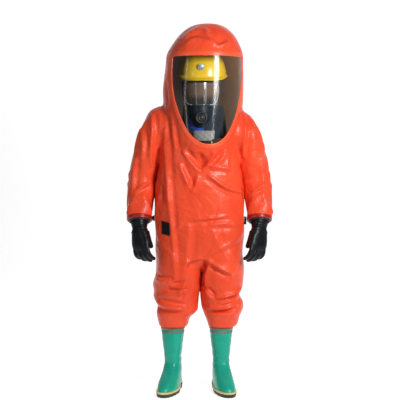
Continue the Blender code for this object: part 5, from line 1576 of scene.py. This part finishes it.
def make_flap():
    rings = []
    for z in np.linspace(0.748, 1.452, 140):
        section = []
        for share in np.linspace(0, 1, 28):
            x = 0.043 - 0.090 * share
            arch = 0.018 * math.sin(math.pi * min(1, share * 1.02)) ** 0.55
            wave = 0.0012 * math.sin(z * 34 + 1) * math.sin(math.pi * share)
            section.append((x, 0.0034 + arch * 0.92 + wave))
        outer = [back_point(x, out + 0.0014, z) for x, out in section]
        inner = [back_point(x, out - 0.0004, z) for x, out in section[::-1]]
        rings.append(outer + inner)
    flap = loft("flap_cover", rings, M["suit"])
    finish_piece(flap, "flap", "suit_fabric", "zip_flap")


# CAD nodes that stay, with the finish they have in the photograph

CAD_LOOKS = {
    "plastic": ("belt_buckle_socket", "belt_buckle_tongue", "passthrough_flange",
                "passthrough_body", "helmet_headband", "helmet_knob", "mask_connector",
                "mask_adapter_left", "mask_adapter_right", "valve_flange_left",
                "valve_flange_right", "valve_cap_left", "valve_cap_right"),
    "dark": ("valve_disc_left", "valve_disc_right"),
    "cuff": ("passthrough_cap",),
    "steel": ("zip_slider", "zip_pull", "boot_clamp_left", "boot_clamp_right"),
    "webbing": ("helmet_crown_tab",),
    "boot": ("heel_lug_left", "heel_lug_right"),
}


def dress_cad():
    for look, nodes in CAD_LOOKS.items():
        for node in nodes:
            for slot in frame["nodes"][node].material_slots:
                slot.material = M[look]


# The room

WORLD_STRENGTH = 0.17
FLOOR_REACH = 9.0
SWEEP_RADIUS = 2.6              # of the floor's curve up into the back wall
CAMERA_FOV = 20.95              # degrees, upright
CAMERA_AT = Vector((0.003, -5.6, 1.28))
CAMERA_TARGET = Vector((0.003, 0.0, 0.984))


def area_light(name, place_at, target, wide, tall, power):
    light = bpy.data.lights.new(name, "AREA")
    light.shape = "RECTANGLE"
    light.size, light.size_y, light.energy = wide, tall, power
    obj = bpy.data.objects.new(name, light)
    bpy.context.scene.collection.objects.link(obj)
    obj.location = place_at
    obj.rotation_euler = (Vector(target) - Vector(place_at)).to_track_quat("-Z", "Y").to_euler()


def make_room():
    world = bpy.data.worlds.new("studio")
    world.use_nodes = True
    sky = world.node_tree.nodes["Background"]
    sky.inputs["Color"].default_value = (1, 1, 1, 1)
    sky.inputs["Strength"].default_value = WORLD_STRENGTH
    bpy.context.scene.world = world
    curve = [(SWEEP_RADIUS * (1 + math.sin(t)), SWEEP_RADIUS * (1 - math.cos(t)))
             for t in np.linspace(0, math.pi / 2, 24)]
    sweep = [(-FLOOR_REACH, 0.0)] + curve + [(2 * SWEEP_RADIUS, FLOOR_REACH)]
    rows = [[(x, y, z) for x in (-FLOOR_REACH, FLOOR_REACH)] for y, z in sweep]
    floor = loft("floor", rows, M["floor"], ends=False, closed=False)
    area_light("key", (1.2, -2.1, 2.0), (0, 0, 1.15), 0.5, 0.7, 53)
    area_light("strip", (1.7, -3.4, 1.4), (0, 0, 1.3), 0.16, 1.8, 18)
    area_light("fill", (-2.6, -2.6, 1.6), (0, 0, 1.1), 0.16, 1.6, 9)
    scene = bpy.context.scene
    scene.view_settings.view_transform = "Standard"
    lens = bpy.data.cameras.new("camera")
    lens.sensor_fit = "VERTICAL"
    lens.angle = math.radians(CAMERA_FOV)
    camera = bpy.data.objects.new("camera", lens)
    scene.collection.objects.link(camera)
    camera.location = CAMERA_AT
    camera.rotation_euler = (CAMERA_TARGET - CAMERA_AT).to_track_quat("-Z", "Y").to_euler()
    scene.camera = camera


def main():
    skin = make_garment()
    make_lining(skin)
    tree = surface_of(skin)
    bpy.data.objects.remove(skin, do_unlink=True)
    make_visor()
    make_helmet()
    make_mask()
    make_skirt()
    make_bib()
    for side, sign in SIDES:
        make_glove(side, sign)
        make_boot(side)
    make_belt(tree)
    make_zip()
    make_flap()
    dress_cad()
    make_room()


main()
